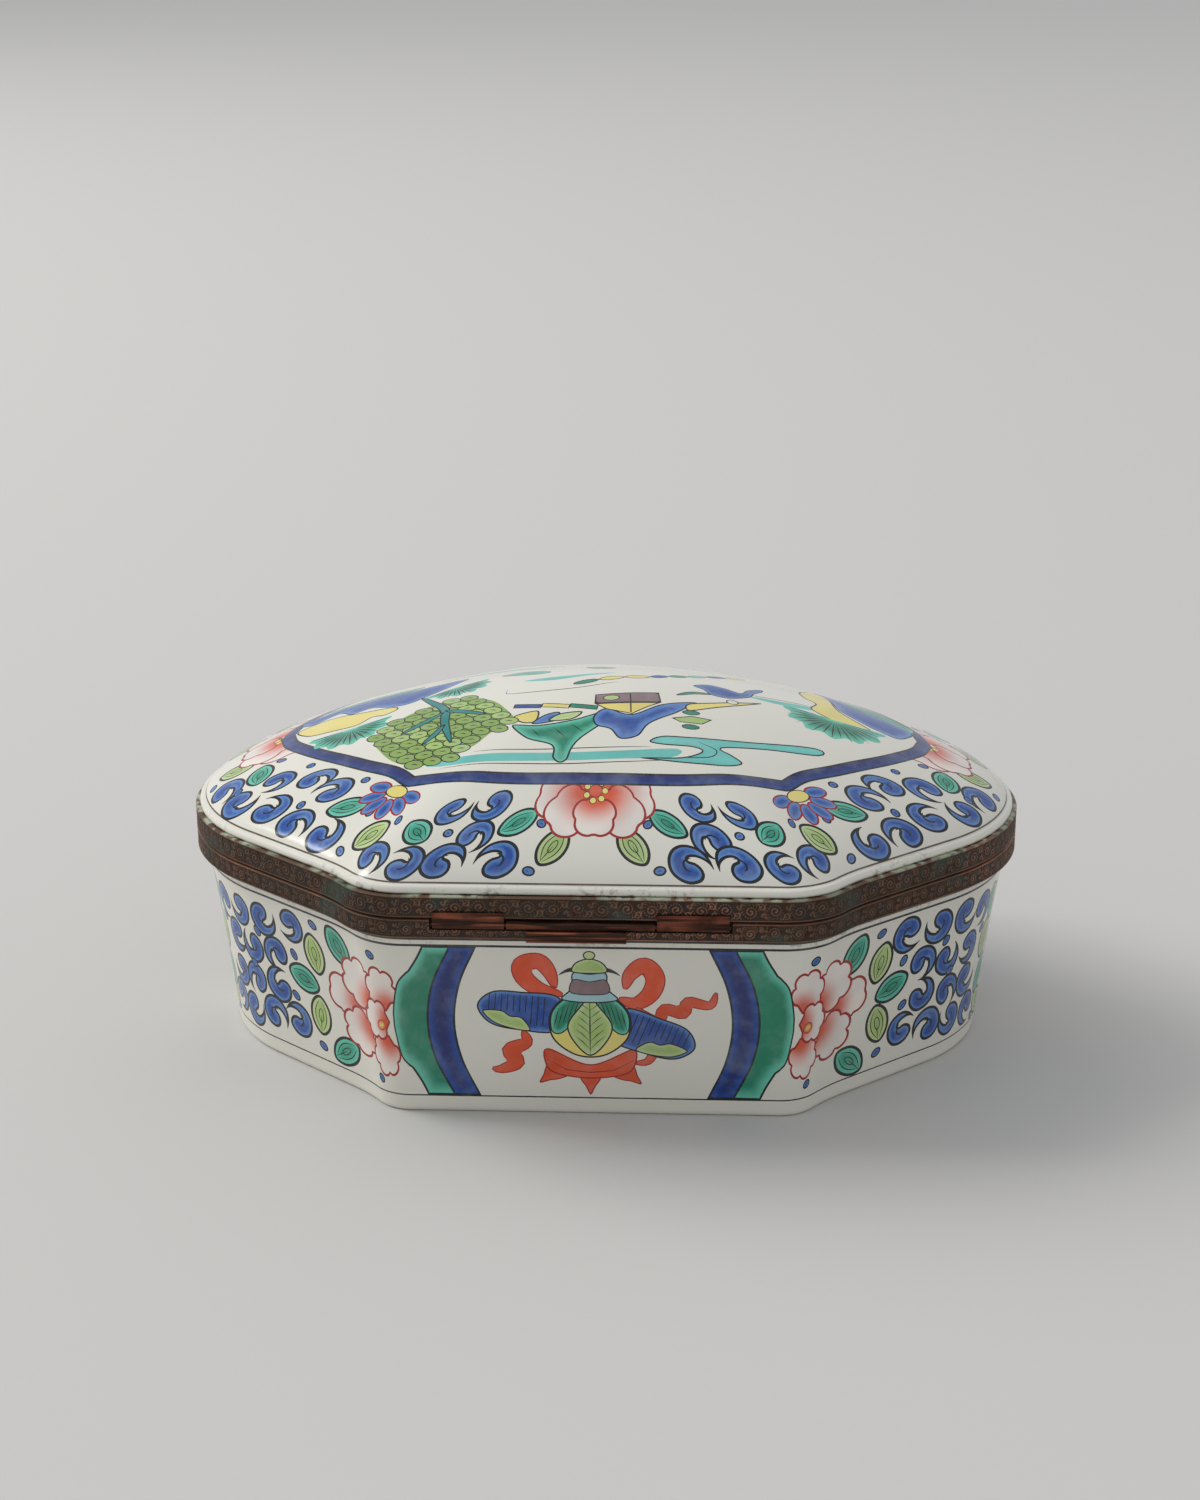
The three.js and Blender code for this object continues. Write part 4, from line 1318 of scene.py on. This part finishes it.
def chased_band(name, low, high, flange_low, flange_high, channel):
    """A lofted ring whose upright face is a fine grid pressed in between the scrolls."""
    rows = int((high - low - 2 * band_edge) / chasing_step) + 1
    heights = np.linspace(low + band_edge, high - band_edge, rows)
    border = 3
    relief = np.ones((rows, band_columns))
    chased = scroll_relief(heights[-border] - heights[border - 1], rows - 2 * border + 2)
    relief[border - 1:rows - border + 1] = np.tile(chased, (1, repeats))
    relief[[1, -2]] = edge_line_tone
    insets = engraving * (1 - relief)
    if channel:
        x, y, _, _ = plan(band_along, 0)
        near_hinge = (np.abs(x - hinge_x) < channel_half_length) & (y < 0)
        sweep = channel_radius ** 2 - (heights - hinge_height) ** 2
        groove = np.where(sweep > 0, hinge_inset + np.sqrt(np.clip(sweep, 0, None)), 0)
        groove = np.where(heights > hinge_height, hinge_inset + channel_radius, groove)
        insets = np.where(near_hinge[None], np.maximum(insets, groove[:, None]), insets)
        relief = np.where(near_hinge[None] & (groove[:, None] > 0), 0.4, relief)
    loops = [(low, band_edge * np.ones(band_columns), 1.0)]
    loops += [(z, inset, tone) for z, inset, tone in zip(heights, insets, relief)]
    top_inset = np.maximum(band_edge, insets[-1]) if channel else band_edge * np.ones(band_columns)
    loops.append((high, top_inset, 1.0))
    if flange_low == low:
        loops += [
            (high, band_thickness, 0.2), (flange_high, band_thickness, 0.2),
            (flange_high, inner_inset, 0.5), (low, inner_inset, 0.5),
        ]
    else:
        loops += [
            (high, inner_inset, 0.5), (flange_low, inner_inset, 0.5),
            (flange_low, band_thickness, 0.2), (low, band_thickness, 0.2),
        ]
    points = []
    tones = []
    for z, inset, tone in loops:
        x, y, _, _ = plan(band_along, inset + 0 * band_along)
        points.append(placed(x, y, z))
        tones.append(tone + 0 * band_along)
    total = len(loops)
    around = np.arange(band_columns)
    beside = (around + 1) % band_columns
    faces = []
    for k in range(total):
        this = k * band_columns
        other = (k + 1) % total * band_columns
        faces.append(np.stack([this + around, this + beside, other + beside, other + around], -1))
    mesh = bpy.data.meshes.new(name)
    mesh.from_pydata(np.vstack(points).tolist(), [], np.vstack(faces).tolist())
    tone_layer = mesh.attributes.new("relief", "FLOAT", "POINT")
    tone_layer.data.foreach_set("value", np.concatenate(tones))
    bpy.ops.object.select_all(action="DESELECT")
    piece = bpy.data.objects.new(name, mesh)
    bpy.context.scene.collection.objects.link(piece)
    bpy.context.view_layer.objects.active = piece
    piece.select_set(True)
    bpy.ops.object.shade_smooth_by_angle(angle=math.radians(50))
    return piece


def bronze_material(name, crust_height):
    """Brown patina with copper where it is rubbed, dark and green in the hollows."""
    material, tree, shader = new_material(name)
    place = node(tree, "ShaderNodeTexCoord", {}, [], "Object")
    relief = node(tree, "ShaderNodeAttribute", {"attribute_name": "relief"}, [], "Fac")
    cloud = noise(tree, place, 45, 3)
    fine = noise(tree, place, 380, 4)
    height = node(tree, "ShaderNodeSeparateXYZ", {}, [place], "Z")
    brown = mixed(tree, fine.between(0.35, 0.65), (0.045, 0.025, 0.016), (0.11, 0.065, 0.042))
    raised = relief.between(0.35, 0.85)
    rubbed = raised * cloud.between(0.46, 0.62)
    colour = mixed(tree, raised * 0.6, brown, (0.25, 0.155, 0.10))
    colour = mixed(tree, rubbed * fine.between(0.3, 0.6) * 0.75, colour, (0.46, 0.19, 0.12))
    hollow = (1 - raised) * fine.between(0.40, 0.58)
    colour = mixed(tree, hollow * 0.85, colour, (0.012, 0.010, 0.009))
    green = noise(tree, place, 95, 4)
    colour = mixed(tree, green.between(0.56, 0.66) * 0.55, colour, (0.045, 0.085, 0.065))
    by_the_rim = height.between(crust_height - 0.0005, crust_height)
    crust = by_the_rim * fine.between(0.44, 0.54) * cloud.between(0.36, 0.5)
    colour = mixed(tree, crust * 0.9, colour, (0.40, 0.47, 0.34))
    feed(tree, shader, "Base Color", colour)
    feed(tree, shader, "Metallic", (0.85 - crust * 0.8 - hollow * 0.4).clamped())
    feed(tree, shader, "Roughness", (0.42 + fine * 0.16 + crust * 0.3 - rubbed * 0.1).clamped())
    return material


base_band_low, base_band_top = (corner.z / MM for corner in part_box("base_band"))
base_band = chased_band(
    "chased_base_band", base_band_low, base_band_top, base_band_top - flange_thickness, base_band_top, True,
)
base_band.data.materials.append(bronze_material("bronze_base", 1.0))
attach(base_band, "base")
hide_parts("base_band")
lid_band_low = band_low.z / MM
lid_band = chased_band(
    "chased_lid_band", lid_band_low, lid_band_top, lid_band_low, lid_band_low + flange_thickness, False,
)
lid_band.data.materials.append(bronze_material("bronze_lid", band_high.z))
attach(lid_band, "lid")
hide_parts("lid_band")

# The hinge
# Rolled copper knuckles, their pin and the stop bar below them keep the shapes of the solids
# and take a drawn, rubbed finish, with painted light and shade: the left knuckle lighter, the right one
# darker.
# Brightness of each part's copy of the finish: the left knuckle lighter and the right one darker are painted
# light and shade; the stop bar is lighter for its worn copper.
for name, wear_and_shade_tint in (
    ("hinge_knuckle_middle", 0.7), ("hinge_knuckle_left", 0.8), ("hinge_knuckle_right", 0.62),
    ("hinge_pin", 0.7), ("stop_bar", 1.25),
):
    material, tree, shader = new_material("rubbed_" + name)
    place = node(tree, "ShaderNodeTexCoord", {}, [], "Object")
    stretched = node(tree, "ShaderNodeMapping", {}, {"Vector": place, "Scale": (60, 1400, 1400)})
    drawn = noise(tree, stretched, 1, 3)
    worn = noise(tree, place, 160, 3)
    dark = (0.045 * wear_and_shade_tint, 0.024 * wear_and_shade_tint, 0.017 * wear_and_shade_tint)
    bright = (0.36 * wear_and_shade_tint, 0.11 * wear_and_shade_tint, 0.060 * wear_and_shade_tint)
    colour = mixed(tree, drawn.between(0.42, 0.62) * worn.between(0.3, 0.55), dark, bright)
    feed(tree, shader, "Base Color", colour)
    feed(tree, shader, "Metallic", 0.85)
    feed(tree, shader, "Roughness", drawn.between(0.3, 0.7, 0.36, 0.55))
    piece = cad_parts[name]
    piece.data.materials.clear()
    piece.data.materials.append(material)

# Floor, light and camera
# A plain pale paper ground, lit by soft daylight from a window behind on the left and by the
# pale walls of the room. The camera looks down a little on the hinge's side.
bpy.ops.object.select_all(action="DESELECT")
bpy.ops.mesh.primitive_plane_add(size=24, location=(0, 0, 0))
floor = bpy.context.object
floor.name = "floor"
material, tree, shader = new_material("paper")
feed(tree, shader, "Base Color", (0.58, 0.57, 0.545, 1))
feed(tree, shader, "Roughness", 0.95)
floor.data.materials.append(material)


def aimed(lamp, place, target):
    bpy.context.scene.collection.objects.link(lamp)
    lamp.location = place
    lamp.rotation_euler = (Vector(target) - Vector(place)).to_track_quat("-Z", "Y").to_euler()


def area_light(name, place, target, size, power, colour):
    data = bpy.data.lights.new(name, "AREA")
    data.shape = "RECTANGLE"
    data.size, data.size_y = size
    data.energy = power
    data.color = colour
    lamp = bpy.data.objects.new(name, data)
    aimed(lamp, place, target)
    return lamp


daylight = bpy.data.lights.new("daylight", "SUN")
daylight.angle = math.radians(42)
daylight.energy = 0.45
daylight.color = (1.0, 0.985, 0.955)
sun = bpy.data.objects.new("daylight", daylight)
aimed(sun, (-1.3, 1.0, 1.5), (0, 0, 0))
sun.visible_glossy = False
wide_window = area_light("wide_window", (-2.4, 0.9, 1.8), (0, 0, 0), (1.8, 1.8), 52, (1.0, 0.985, 0.96))
wide_window.visible_glossy = False
area_light("window", (-1.3, 0.15, 1.1), (0, 0, 0.04), (0.20, 0.42), 2.2, (1.0, 0.99, 0.97))
world = bpy.data.worlds.new("room_light")
bpy.context.scene.world = world
world.use_nodes = True
world.node_tree.nodes["Background"].inputs["Color"].default_value = (0.93, 0.95, 1.0, 1)
world.node_tree.nodes["Background"].inputs["Strength"].default_value = 0.62

camera_azimuth = math.radians(2.6)
camera_elevation = math.radians(21.0)
camera_roll = math.radians(-0.2)
camera_distance = 0.529
aim = Vector((0, 0, 0.035))
focal_pixels = 2600
frame_height = 1500
aim_right = 5
aim_down = 100
back = Vector((
    math.sin(camera_azimuth) * math.cos(camera_elevation),
    -math.cos(camera_azimuth) * math.cos(camera_elevation),
    math.sin(camera_elevation),
))
across = Vector((0, 0, 1)).cross(back).normalized()
above = back.cross(across)
level_x = across * math.cos(camera_roll) + above * math.sin(camera_roll)
level_y = above * math.cos(camera_roll) - across * math.sin(camera_roll)
camera_data = bpy.data.cameras.new("camera")
camera_data.sensor_fit = "VERTICAL"
camera_data.sensor_height = 36
camera_data.lens = camera_data.sensor_height * focal_pixels / frame_height
camera_data.shift_x = -aim_right / frame_height
camera_data.shift_y = aim_down / frame_height
camera_data.clip_start = 0.01
camera = bpy.data.objects.new("camera", camera_data)
bpy.context.scene.collection.objects.link(camera)
facing = Matrix((level_x, level_y, back)).transposed().to_4x4()
camera.matrix_world = Matrix.Translation(aim + back * camera_distance) @ facing
bpy.context.scene.camera = camera
bpy.context.scene.view_settings.view_transform = "Standard"
